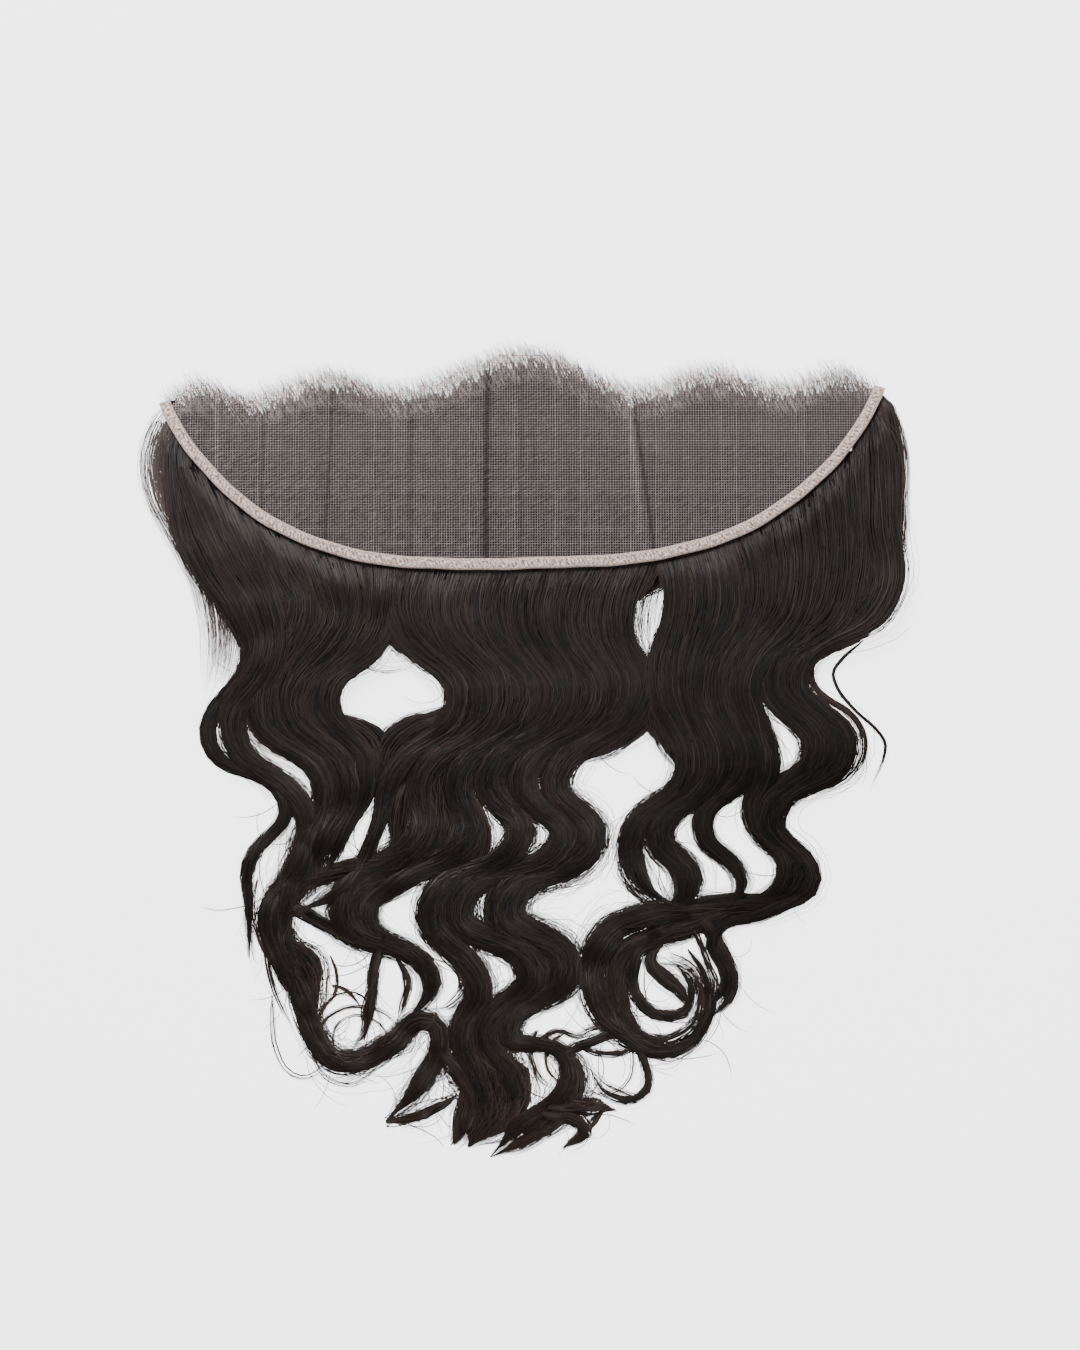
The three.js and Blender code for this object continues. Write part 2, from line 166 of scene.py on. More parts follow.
# Locks in percent: across (of the lace width), down (of the hair drop), width (of the lace width).
# The lean turns a lock's width from straight across, 0, to square to its run, 1.
LOCKS = {
    "left": (
        (0.5, ((-48, -23, 3.5), (-48.5, -14.5, 4.5), (-44, -1, 4), (-39, 9.5, 3), (-38, 16, 2),
               (-43.5, 29.5, 2), (-33, 39.5, 2), (-38, 50, 2), (-38, 57, 1.5), (-38, 66, 1))),
        (0.5, ((-44, -14.5, 5.5), (-39, -1, 5.5), (-35.5, 7.5, 4.5), (-35, 15, 4), (-40, 28, 3.5),
               (-30.5, 40.5, 3.5), (-30.5, 49.5, 4), (-35, 58.5, 4), (-33, 67, 4), (-30, 74.5, 3),
               (-28, 81, 2))),
        (0.5, ((-36, -8, 6), (-32.5, 0.5, 6), (-30.5, 7.5, 5.5), (-36, 24.5, 4.5), (-27.5, 35.5, 4),
               (-29.5, 46, 4), (-33, 56, 4), (-33, 64.5, 3.5), (-28.5, 73, 3))),
        (0.5, ((-28, -3.5, 6), (-25.5, 4, 6), (-25.5, 10, 5), (-32, 23, 4.5), (-24.5, 35, 4),
               (-27.5, 46, 4), (-31.5, 53.5, 3.5))),
        (0.5, ((-19, -2, 4), (-19, 5.5, 3.5), (-20.5, 12.5, 3.5), (-27.5, 22, 4), (-21.5, 34, 3),
               (-25, 45.5, 2), (-28, 53, 2))),
        (1.0, ((-31.5, 69, 4.5), (-28.5, 80, 3.5), (-24.5, 83.5, 3.5), (-18, 80.5, 3.5),
               (-14, 76.5, 3), (-11.5, 79.5, 3), (-14.5, 87.5, 3.5), (-19, 93.5, 2))),
        (1.0, ((-19, 93.5, 1.5), (-14.5, 92.5, 1.5), (-11, 90.5, 1.5), (-9, 89, 1))),
    ),
    "centre": (
        (0.5, ((-15, -1, 5), (-16, 9.5, 4.5), (-8.5, 22.5, 4), (-17.5, 34, 3.5), (-20.5, 45, 2),
               (-24.5, 54, 3), (-31, 58, 3))),
        (0.5, ((-9.5, -0.5, 6), (-10.5, 9.5, 5.5), (-4, 22.5, 4.5), (-13.5, 34.5, 4.5),
               (-14, 45.5, 5.5), (-24.5, 58, 5.5), (-13, 68.5, 3.5), (-16.5, 78, 1.5))),
        (0.5, ((-3.5, 0, 6), (-5, 9.5, 6), (1, 22.5, 4.5), (-9, 35, 4.5), (-8, 46, 6), (-17, 53, 4),
               (-21.5, 59, 3.5), (-15.5, 64.5, 3))),
        (0.5, ((2.5, 0, 6), (1, 9.5, 6), (5.5, 22.5, 4.5), (-4.5, 35, 4.5), (-0.5, 46, 4.5),
               (-12.5, 57, 4.5), (-6, 70.5, 4.5), (-8.5, 79, 4), (-6, 87.5, 4), (-5, 96, 3.5))),
        (0.5, ((9, -1, 6), (6.5, 9.5, 6), (10.5, 22.5, 4.5), (0, 35.5, 4.5), (5.5, 46.5, 4.5),
               (-9, 57, 5), (1.5, 68, 6), (-5, 78, 4.5), (-1.5, 87.5, 4.5), (-2.5, 95, 3.5))),
        (0.5, ((15, -1, 4.5), (12.5, 9.5, 5), (15, 22, 4.5), (4.5, 35.5, 4.5), (9.5, 46.5, 4.5),
               (-2.5, 57, 7), (6, 67.5, 5.5), (-2, 78, 4), (5.5, 82, 3), (6, 88, 3.5),
               (-0.5, 94.5, 3.5), (-4.5, 99.5, 1))),
        (0.5, ((-19, 62, 2), (-20.5, 67, 1.5), (-21, 73.5, 1.5), (-22, 80, 1))),
        (0.5, ((-11.5, 81.5, 3.5), (-7, 89, 2.5), (-8, 94, 2), (-9.5, 97.5, 1))),
        (1.0, ((3.5, 91, 2), (9, 91, 2.5), (13, 91.5, 1))),
        (1.0, ((2.5, 92, 2), (8.5, 94.5, 2), (5.5, 98, 1))),
        (1.0, ((5.5, 82, 2), (9.5, 80, 1.5), (14, 79, 1.5), (17, 83.5, 1), (16.5, 89, 1), (12, 89, 1),
               (9.5, 85, 0.8))),
    ),
    "right": (
        (0.5, ((20.5, -2.5, 3.5), (21.5, 6, 3), (19.5, 19.5, 4), (23, 34.5, 4), (15.5, 44.5, 4),
               (16.5, 53, 4.5), (20.5, 57, 3.5))),
        (0.5, ((25.5, -3.5, 5.5), (27, 6, 5.5), (23.5, 19.5, 4), (26.5, 34, 4.5), (19, 44.5, 4.5),
               (23, 53, 5), (19, 60.5, 4))),
        (0.5, ((31, -6, 6), (32.5, 6, 5.5), (27.5, 19.5, 4), (30.5, 33.5, 4.5), (25, 43.5, 3),
               (30.5, 53, 3), (27.5, 58, 3))),
        (0.5, ((37.5, -10.5, 6), (38, 6, 5.5), (31, 19, 4), (34, 33, 3.5), (32, 42, 3), (36.5, 52, 3),
               (29, 57.5, 2))),
        (0.5, ((43.5, -16.5, 6), (43.5, 6, 5.5), (35, 18.5, 4), (41, 31, 4.5), (33.5, 42, 3.5),
               (38.5, 52, 3), (31, 57.5, 3))),
        (0.5, ((48.5, -24, 4.5), (49, -8, 5), (49, 5.5, 5), (38.3, 18, 2.4), (44.4, 31, 4.2),
               (35, 42, 3), (40, 52.5, 3), (34, 58, 2.5), (26.5, 62, 2), (28.5, 69.5, 3),
               (25, 75.5, 1))),
        (1.0, ((23.5, 58, 3.5), (16.5, 59, 4), (11, 63.5, 4.5), (10, 71.5, 4), (14, 78.5, 3),
               (20.5, 81.5, 2), (25.5, 76.5, 1.5), (25.5, 69.5, 1.5), (23, 64.5, 2))),
        (1.0, ((19, 61, 3), (15.5, 66.5, 2), (16.5, 73.5, 1.5), (21.5, 75.5, 1.5), (23.5, 71.5, 1),
               (21.5, 67, 1))),
    ),
}

# Loose wisps, loops and thin locks: lean, how many strands, and bends as (across, down, width).
# Across and down are counted from the middle of the tape, and all three are in the photo's pixels.
BODY_STRANDS = 60
LOOP_STRANDS = 24
WISPS = {
    "left": (
        (0.5, 130, ((-351, -166, 10), (-338, -124, 24), (-310, -68, 30), (-288, -14, 26),
                    (-280, 40, 20))),
        (0.5, 160, ((-204, 248, 44), (-214, 283, 44), (-219, 313, 44), (-232, 343, 34))),
        (0.5, 120, ((-244, 345, 26), (-241, 374, 34), (-221, 397, 46), (-212, 426, 32),
                    (-210, 458, 20))),
        (1.0, 120, ((-112, 290, 18), (-145, 296, 22), (-180, 303, 22), (-212, 314, 19),
                    (-242, 330, 15), (-258, 358, 9))),
        (1.0, 64, ((-250, 330, 8), (-226, 342, 14), (-198, 357, 15), (-174, 370, 14), (-146, 380, 8))),
        (1.0, 5, ((-264, 338, 2), (-270, 365, 2), (-268, 392, 2), (-261, 398, 1))),
        (1.0, 30, ((-260, 338, 5), (-255, 393, 5), (-248, 423, 5), (-230, 461, 4))),
        (1.0, 9, ((-250, 427, 3), (-250, 456, 4), (-246, 483, 4), (-230, 507, 4), (-206, 506, 4),
                  (-186, 480, 3))),
        (1.0, 9, ((-212, 480, 3), (-204, 503, 4), (-184, 517, 4), (-160, 514, 4), (-134, 488, 3))),
        (1.0, 16, ((-192, 418, 3), (-177, 423, 3), (-160, 441, 3))),
        (1.0, 8, ((-204, 470, 3), (-199, 440, 4), (-176, 424, 4), (-152, 434, 4), (-140, 458, 4),
                  (-150, 482, 3))),
        (1.0, 7, ((-262, 300, 2), (-268, 340, 3), (-262, 376, 3), (-246, 404, 3), (-236, 440, 2))),
        (1.0, 44, ((-145, 393, 6), (-149, 418, 8), (-157, 441, 9), (-158, 463, 8), (-170, 481, 5))),
        (1.0, 10, ((-196, 492, 3), (-203, 466, 4), (-186, 444, 4), (-154, 440, 4), (-128, 452, 4),
                   (-112, 474, 3))),
        (1.0, 7, ((-180, 496, 3), (-190, 470, 3), (-176, 450, 3), (-150, 452, 3), (-134, 470, 3),
                  (-134, 490, 2))),
        (1.0, 14, ((-192, 388, 4), (-185, 408, 4), (-188, 428, 4), (-200, 443, 4), (-196, 465, 3))),
        (1.0, 44, ((-126, 391, 7), (-115, 413, 9), (-120, 438, 8), (-124, 451, 6))),
        (1.0, 34, ((-70, 391, 10), (-59, 418, 12), (-70, 436, 10), (-86, 443, 8))),
    ),
    "centre": (
        (0.5, 120, ((-155, -12, 34), (-157, 30, 42), (-160, 66, 52), (-166, 92, 44), (-172, 112, 22))),
        (0.5, 70, ((-128, -10, 30), (-126, 40, 44), (-112, 68, 46), (-92, 92, 36), (-72, 116, 18))),
        (0.5, 110, ((-186, 146, 8), (-168, 158, 24), (-150, 172, 30), (-142, 196, 26), (-143, 226, 10))),
        (0.5, 110, ((-64, 136, 12), (-86, 151, 24), (-108, 159, 28), (-126, 173, 32), (-137, 196, 28),
                    (-142, 226, 12))),
        (0.5, 80, ((-112, 206, 8), (-120, 228, 22), (-124, 252, 24), (-126, 276, 18), (-132, 296, 8))),
        (0.5, 60, ((-52, 222, 8), (-44, 246, 16), (-38, 270, 18), (-44, 294, 16), (-56, 318, 8))),
        (0.5, 90, ((137, -16, 50), (135, 0, 50), (127, 16, 38), (116, 34, 14))),
        (0.5, 100, ((126, -10, 22), (109, 20, 18), (101, 44, 17), (100, 60, 18), (105, 78, 20),
                    (118, 98, 20), (118, 130, 14))),
        (0.5, 150, ((116, 82, 5), (121, 100, 18), (124, 120, 34), (112, 148, 42), (84, 176, 34),
                    (52, 198, 14))),
        (0.5, 90, ((-77, 176, 8), (-84, 212, 22), (-84, 250, 24), (-78, 290, 10))),
        (0.5, 60, ((-58, 180, 6), (-53, 212, 18), (-52, 248, 6))),
        (0.5, 60, ((-24, 152, 6), (-17, 188, 18), (-15, 230, 6))),
        (0.5, 260, ((-46, 470, 76), (-34, 500, 92), (-26, 525, 84), (-30, 548, 68), (-44, 566, 46),
                    (-54, 580, 22))),
        (0.5, 120, ((-52, 433, 50), (-40, 463, 76), (-34, 493, 70))),
        (0.5, 60, ((-4, 530, 20), (-14, 548, 24), (-32, 566, 14))),
        (0.5, 60, ((-56, 520, 24), (-60, 548, 22), (-66, 572, 16), (-72, 578, 6))),
        (1.0, 130, ((38, 478, 20), (52, 508, 26), (40, 543, 24), (8, 569, 18), (-32, 590, 5))),
        (1.0, 44, ((50, 541, 9), (70, 537, 12), (89, 541, 3))),
        (1.0, 40, ((82, 541, 8), (66, 559, 9), (40, 581, 4))),
        (1.0, 10, ((54, 470, 4), (74, 460, 6), (98, 464, 6), (116, 484, 5), (128, 512, 4),
                   (122, 528, 4), (98, 524, 5), (76, 510, 6), (66, 490, 6), (70, 474, 4))),
        (1.0, 6, ((86, 458, 3), (104, 474, 3), (110, 496, 3), (102, 518, 3), (82, 526, 3),
                  (60, 522, 2))),
        (1.0, 4, ((2, 506, 2), (6, 522, 3), (24, 530, 3), (60, 534, 3), (96, 530, 2))),
        (1.0, 34, ((50, 474, 5), (72, 484, 8), (100, 484, 8), (109, 473, 6), (94, 461, 5),
                   (72, 458, 5), (52, 468, 4))),
        (1.0, 14, ((16, 462, 4), (8, 476, 4), (10, 495, 4), (18, 512, 4), (34, 523, 3))),
        (1.0, 10, ((44, 464, 4), (28, 478, 4), (24, 496, 4), (34, 512, 4), (50, 520, 3))),
        (1.0, 30, ((14, 475, 5), (34, 464, 6), (54, 469, 6), (70, 465, 4))),
        (1.0, 12, ((-42, 471, 4), (-34, 491, 4), (-17, 501, 4), (8, 493, 3))),
        (0.5, 16, ((-148, 206, 8), (-142, 238, 8), (-150, 270, 6))),
    ),
    "right": (
        (0.5, 80, ((176, -14, 30), (178, 20, 26), (172, 60, 22), (164, 96, 20))),
        (0.5, 150, ((146, 82, 5), (141, 100, 18), (137, 120, 34), (138, 150, 38), (148, 178, 28),
                    (158, 206, 12))),
        (0.7, 56, ((371, 33, 6), (340, 68, 6), (294, 92, 6), (288, 108, 6), (297, 126, 6),
                   (330, 150, 6), (341, 178, 7), (330, 206, 6), (300, 226, 6))),
        (0.5, 120, ((353, -177, 6), (364, -150, 20), (366, -100, 30), (362, -40, 34), (368, 20, 24))),
        (1.0, 24, ((341, 73, 3), (314, 98, 3), (311, 113, 3), (328, 139, 3), (358, 168, 3),
                   (362, 185, 3), (346, 225, 2))),
        (1.0, 130, ((273, 338, 16), (238, 336, 22), (203, 338, 28), (165, 342, 26), (130, 350, 22))),
        (1.0, 190, ((214, 342, 8), (190, 350, 22), (160, 361, 26), (130, 371, 24), (104, 384, 22),
                    (94, 404, 22), (95, 430, 26), (104, 454, 22), (120, 468, 14), (142, 472, 8))),
        (1.0, 50, ((118, 466, 10), (140, 473, 12), (164, 463, 11), (178, 443, 11), (175, 417, 10),
                   (158, 398, 9), (136, 396, 5))),
        (1.0, 90, ((142, 374, 6), (128, 392, 14), (142, 410, 18), (158, 424, 17), (168, 446, 5))),
        (1.0, 90, ((168, 340, 8), (184, 357, 15), (200, 385, 14), (210, 412, 13), (205, 433, 12),
                   (186, 452, 3))),
        (1.0, 30, ((164, 346, 4), (172, 363, 7), (186, 398, 8), (193, 418, 8), (184, 443, 7),
                   (166, 457, 3))),
        (1.0, 14, ((108, 466, 3), (138, 489, 9), (162, 484, 9), (182, 460, 9), (188, 433, 9),
                   (179, 409, 9), (158, 393, 7), (134, 394, 5), (108, 405, 3))),
        (1.0, 9, ((116, 462, 3), (140, 480, 7), (165, 474, 7), (181, 452, 7), (184, 428, 7),
                  (172, 402, 7), (150, 386, 4))),
        (1.0, 3, ((122, 402, 2), (123, 430, 2), (137, 446, 2), (156, 444, 2))),
        (1.0, 4, ((146, 385, 3), (168, 394, 3), (180, 412, 3), (187, 433, 3))),
        (0.5, 44, ((98, 290, 16), (108, 312, 20), (126, 332, 16), (146, 342, 8))),
    ),
}

# Sheer curtains of single hairs, in the same columns.
SHEER = {
    "left": (
        (0.5, 190, ((-348, -156, 8), (-352, -122, 28), (-349, -88, 32), (-341, -56, 32),
                    (-327, -24, 26), (-310, 20, 14))),
    ),
    "centre": (
        (0.5, 14, ((118, 10, 10), (114, 45, 12), (122, 88, 10))),
        (0.5, 16, ((-160, 90, 30), (-140, 100, 26), (-100, 96, 24))),
        (0.5, 60, ((134, 8, 14), (124, 45, 20), (124, 92, 12))),
    ),
    "right": (
        (0.5, 30, ((362, -170, 5), (379, -125, 8), (380, -65, 9), (376, -5, 9), (370, 35, 9),
                   (356, 75, 6))),
        (0.5, 12, ((150, 12, 8), (147, 45, 8), (140, 86, 10))),
    ),
}

# Curtains at the two ends of the tape: outer route, inner route, how many rows, hairs in each.
CURTAINS = {
    "left": (((-356, -164, 6), (-371, -138, 12), (-378, -105, 15), (-371, -68, 17), (-355, -38, 18),
              (-338, -8, 18),
              (-322, 33, 18), (-316, 80, 16), (-321, 128, 8)),
             ((-334, -124, 8), (-334, -104, 14), (-332, -80, 16), (-324, -54, 18), (-312, -30, 18),
              (-300, -2, 18),
              (-290, 35, 18), (-288, 80, 16), (-296, 120, 8)), 26, 26),
    "right": (((362, -170, 3), (381, -130, 4), (384, -65, 5), (380, -5, 5), (373, 36, 5), (352, 78, 4)),
              ((352, -160, 4), (366, -125, 4), (370, -65, 5), (368, -5, 5), (360, 33, 5),
               (340, 74, 4)), 8, 14),
}



def clamp(value, low=0.0, high=1.0):
    return min(high, max(low, value))


def mix(a, b, t):
    return a + (b - a) * t


def ease(t):
    return t * t * (3 - 2 * t)


# Outline and height of the lace
HALF = LACE_WIDTH / 2
CORNER_HEIGHT = CORNER_SHARE * LACE_DEPTH


def rear_edge_raw(along):
    u = clamp(along, -1, 1)
    bulge = max(0.0, 1 - abs(u) ** REAR_FULLNESS) ** REAR_ROUNDNESS
    return u * HALF, CORNER_HEIGHT * (1 - bulge) + CORNER_LIFT * u


# The part is centred on its own box, so its shift is found from where its lace lies.
lace_low, lace_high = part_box("lace_base")
SHIFT_X = (lace_low[0] + lace_high[0]) / 2
SHIFT_Y = lace_low[1] - min(rear_edge_raw(i / 100 - 1)[1] for i in range(201))


def rear_edge(along):
    x, y = rear_edge_raw(along)
    return x + SHIFT_X, y + SHIFT_Y


def rear_normal(along):
    """The direction square to the rear edge, away from the lace."""
    near = 0.004
    ax, ay = rear_edge(max(-1, along - near))
    bx, by = rear_edge(min(1, along + near))
    length = math.hypot(bx - ax, by - ay)
    return (by - ay) / length, -(bx - ax) / length


def hairline_y(along):
    u = clamp(along, -1, 1)
    for (a, low), (b, high) in zip(HAIRLINE_LOBES, HAIRLINE_LOBES[1:]):
        if u <= b:
            rise = mix(low, high, ease((u - a) / (b - a)))
            break
    return CORNER_HEIGHT + CORNER_LIFT * u + rise * LACE_DEPTH + SHIFT_Y


def along_at(x):
    return (x - SHIFT_X) / HALF


def crease_at(x, y):
    """Rise of the creases at a place, and their tone: darker in painted shade, paler where the lace lies
    doubled.
    """
    along = along_at(x)
    front, back = hairline_y(along), rear_edge(along)[1]
    deep = clamp((front - y) / max(MM, front - back))
    fade = ease(clamp((y - back - TAPE_WIDTH) / (2 * TAPE_WIDTH)))
    rise = tone = 0.0
    for at_front, at_back, height, spread, shade in CREASES:
        centre = mix(at_front, at_back, deep) * HALF + SHIFT_X
        offset = (x - centre) / (spread * LACE_DEPTH)
        bump = math.exp(-offset * offset)
        rise += height * LACE_DEPTH * bump
        tone += shade * bump
    return rise * fade, tone


def lace_height(x, y, creased=True):
    behind = max(0.0, hairline_y(along_at(x)) - y)
    pile = mix(BED_HEIGHT, HAIRLINE_HEIGHT, math.exp(-behind / BED_RISE_LENGTH))
    return pile + LACE_OVER_BED + (crease_at(x, y)[0] if creased else 0.0)


class Place:
    """One place along a lock: its centre, half-width direction, width, share of the drop, and wave."""

    def __init__(self, x, y, width, wave):
        self.x = x
        self.y = y
        self.width = width
        self.wave = wave
        self.down = clamp((SHIFT_Y - y) / HAIR_DROP)
        self.side = (1.0, 0.0)
        self.share = 1.0


def lock_knots(bends, wisp):
    """A lock's bends in metres."""
    across_unit = PIXEL if wisp else LACE_WIDTH / 100
    down_unit = PIXEL if wisp else HAIR_DROP / 100
    return [(across * across_unit + SHIFT_X, SHIFT_Y - down * down_unit, width * across_unit)
            for across, down, width in bends]


def knot_aims(knots):
    """The direction in which a lock passes each of its bends."""
    aims = []
    for i in range(len(knots)):
        a, b = knots[max(0, i - 1)], knots[min(len(knots) - 1, i + 1)]
        length = math.hypot(b[0] - a[0], b[1] - a[1])
        aims.append(((b[0] - a[0]) / length, (b[1] - a[1]) / length))
    return aims


def narrow_outer(route, right):
    """The outermost locks start narrow beside the ends of the lace, the left one drawn inwards."""
    for place, share in zip(route, OUTER_SHARES[right]):
        if not right:
            place.x += place.width * (1 - share) * OUTER_SHIFT
        place.width *= share


def lock_route(lean, bends, wisp=False, step=6.0 * MM):
    """A smooth run of places through a lock's bends."""
    knots = lock_knots(bends, wisp)
    aims = knot_aims(knots)
    rooted = knots[0][1] > SHIFT_Y - ROOT_ZONE * HAIR_DROP and knots[0][1] > knots[-1][1]
    if rooted and not wisp:
        x, y, width = knots[0]
        knots[0] = (x - aims[0][0] * ROOT_REACH, y - aims[0][1] * ROOT_REACH, width)
    route = []
    last = len(knots) - 1
    for i in range(last):
        a, b = knots[i], knots[i + 1]
        chord = math.hypot(b[0] - a[0], b[1] - a[1])
        steps = max(3, round(chord / step))
        pull = chord * ROUNDNESS
        for k in range(steps + (i == last - 1)):
            t = k / steps
            s = ease(t)
            start, finish = t * (1 - t) ** 2 * pull, t * t * (t - 1) * pull
            x = mix(a[0], b[0], s) + start * aims[i][0] + finish * aims[i + 1][0]
            y = mix(a[1], b[1], s) + start * aims[i][1] + finish * aims[i + 1][1]
            spread = 0 if wisp else ROOT_SPREAD * clamp(1 - (SHIFT_Y - y) / (SPREAD_SHARE * HAIR_DROP))
            width = mix(a[2], b[2], s) * (1 + spread)
            route.append(Place(x, y, width, math.cos(2 * math.pi * t)))
    if not wisp and bends[0][1] < 0 and abs(bends[0][0]) > OUTER_LOCK:
        narrow_outer(route, bends[0][0] > 0)
    if wisp and max(p.width for p in route) > BROAD_WISP:
        for place in route:
            place.share, place.wave = WISP_HEIGHT, 1.0
    turn_sides(route, lean)
    return route


def turn_sides(route, lean):
    """Turns the width at each place. Neighbours are drawn together where a tight bend would fold."""
    for i, place in enumerate(route):
        a, b = route[max(0, i - 1)], route[min(len(route) - 1, i + 1)]
        length = math.hypot(b.x - a.x, b.y - a.y) or 1
        side = Vector((mix(1, -(b.y - a.y) / length, lean), mix(0, (b.x - a.x) / length, lean)))
        place.side = side.normalized() if side.length > 0.01 else Vector((1, 0))
    for _ in range(FOLD_ROUNDS):
        for a, b in zip(route, route[1:]):
            aim = Vector((b.x - a.x, b.y - a.y))
            change = (b.side * b.width - a.side * a.width) / 2
            if abs(change.dot(aim)) < FOLD_LIMIT * aim.length_squared:
                continue
            middle = (a.side + b.side) / 2
            a.side = a.side.lerp(middle, 0.4)
            b.side = b.side.lerp(middle, 0.4)
            a.width *= 0.99
            b.width *= 0.99


def lock_height(place, index):
    full = mix(HAIR_HEIGHT, TIP_HEIGHT, place.down) * (1 + 0.08 * math.sin(2.4 * index))
    return min(full, 0.75 * place.width + 1.5 * MM) * place.share


def headroom(x, y):
    """How high hair may stand: under the lace and the tape, and clear beyond them."""
    rear = rear_edge(along_at(x))[1]
    if abs(along_at(x)) > 1:
        return HAIR_HEIGHT
    under = lace_height(x, max(y, rear), False) - UNDER_LACE
    out = max(0.0, rear - 2 * MM - y)
    return under + out * 0.55


# Small helpers
def link_object(obj):
    bpy.context.collection.objects.link(obj)
    return obj


def mesh_object(name, verts, edges=(), faces=(), attributes=None):
    mesh = bpy.data.meshes.new(name)
    mesh.from_pydata(verts, edges, faces)
    for key, (kind, values) in (attributes or {}).items():
        layer = mesh.attributes.new(key, kind, "POINT")
        flat = [c for v in values for c in v] if kind == "FLOAT_VECTOR" else values
        layer.data.foreach_set("vector" if kind == "FLOAT_VECTOR" else "value", flat)
    return link_object(bpy.data.objects.new(name, mesh))


def add_run(mesh, places):
    """A UV map named Run, from a place for each vertex."""
    layer = mesh.uv_layers.new(name="Run")
    for loop in mesh.loops:
        layer.data[loop.index].uv = places[loop.vertex_index]


def finished(obj, finish):
    obj.data.materials.append(finish)
    obj.data.shade_smooth()
    return obj


class NodeTree:
    """A node tree with short calls to add and join nodes."""

    def __init__(self, tree):
        self.tree = tree

    def add(self, kind, *inputs, **settings):
        """A new node with its settings, and its inputs in their order."""
        node = self.tree.nodes.new(kind)
        for key, value in settings.items():
            setattr(node, key, value)
        for socket, value in zip([s for s in node.inputs if s.enabled], inputs):
            self.feed(socket, value)
        return node

    def join(self, node, **inputs):
        """Feeds a node's inputs by their names, written with _ for a space."""
        for name, value in inputs.items():
            self.feed(node.inputs[name.replace("_", " ")], value)
        return node

    def feed(self, socket, value):
        if isinstance(value, bpy.types.Node):
            value = next(s for s in value.outputs if s.enabled)
        if isinstance(value, bpy.types.NodeSocket):
            self.tree.links.new(value, socket)
        else:
            socket.default_value = value

    def math(self, operation, *values):
        return self.add("ShaderNodeMath", *values, operation=operation)

    def plus(self, a, b):
        return self.math("ADD", a, b)

    def minus(self, a, b):
        return self.math("SUBTRACT", a, b)

    def times(self, product, *factors):
        for factor in factors:
            product = self.math("MULTIPLY", product, factor)
        return product

    def power(self, base, exponent):
        return self.math("POWER", base, exponent)

    def scaled(self, vector, factor):
        return self.join(self.add("ShaderNodeVectorMath", operation="SCALE"), Vector=vector, Scale=factor)

    def combine(self, x, y, z):
        return self.add("ShaderNodeCombineXYZ", x, y, z)

    def split(self, vector):
        return self.add("ShaderNodeSeparateXYZ", vector).outputs

    def remap(self, value, low, high, new_low, new_high):
        return self.add("ShaderNodeMapRange", value, low, high, new_low, new_high)

    def noise(self, place, scale=1.0, detail=2.0, dimensions="3D"):
        node = self.add("ShaderNodeTexNoise", noise_dimensions=dimensions)
        return self.join(node, Vector=place, Scale=scale, Detail=detail).outputs["Fac"]

    def stretched(self, place, scale):
        return self.join(self.add("ShaderNodeMapping", place), Scale=scale)

    def blend(self, share, first, second):
        node = self.join(self.add("ShaderNodeMix", data_type="RGBA"), Factor=share)
        self.feed(node.inputs[6], first)
        self.feed(node.inputs[7], second)
        return node.outputs[2]

    def ramp(self, factor, *stops):
        node = self.add("ShaderNodeValToRGB", factor)
        while len(node.color_ramp.elements) < len(stops):
            node.color_ramp.elements.new(0.5)
        for element, (place, colour) in zip(node.color_ramp.elements, stops):
            element.position = place
            element.color = (*colour, 1)
        return node.outputs["Color"]

    def bump(self, height, distance, strength=1.0):
        return self.join(self.add("ShaderNodeBump"), Height=height, Distance=distance, Strength=strength)

    def attribute(self, name):
        return self.add("ShaderNodeAttribute", attribute_name=name).outputs["Fac"]


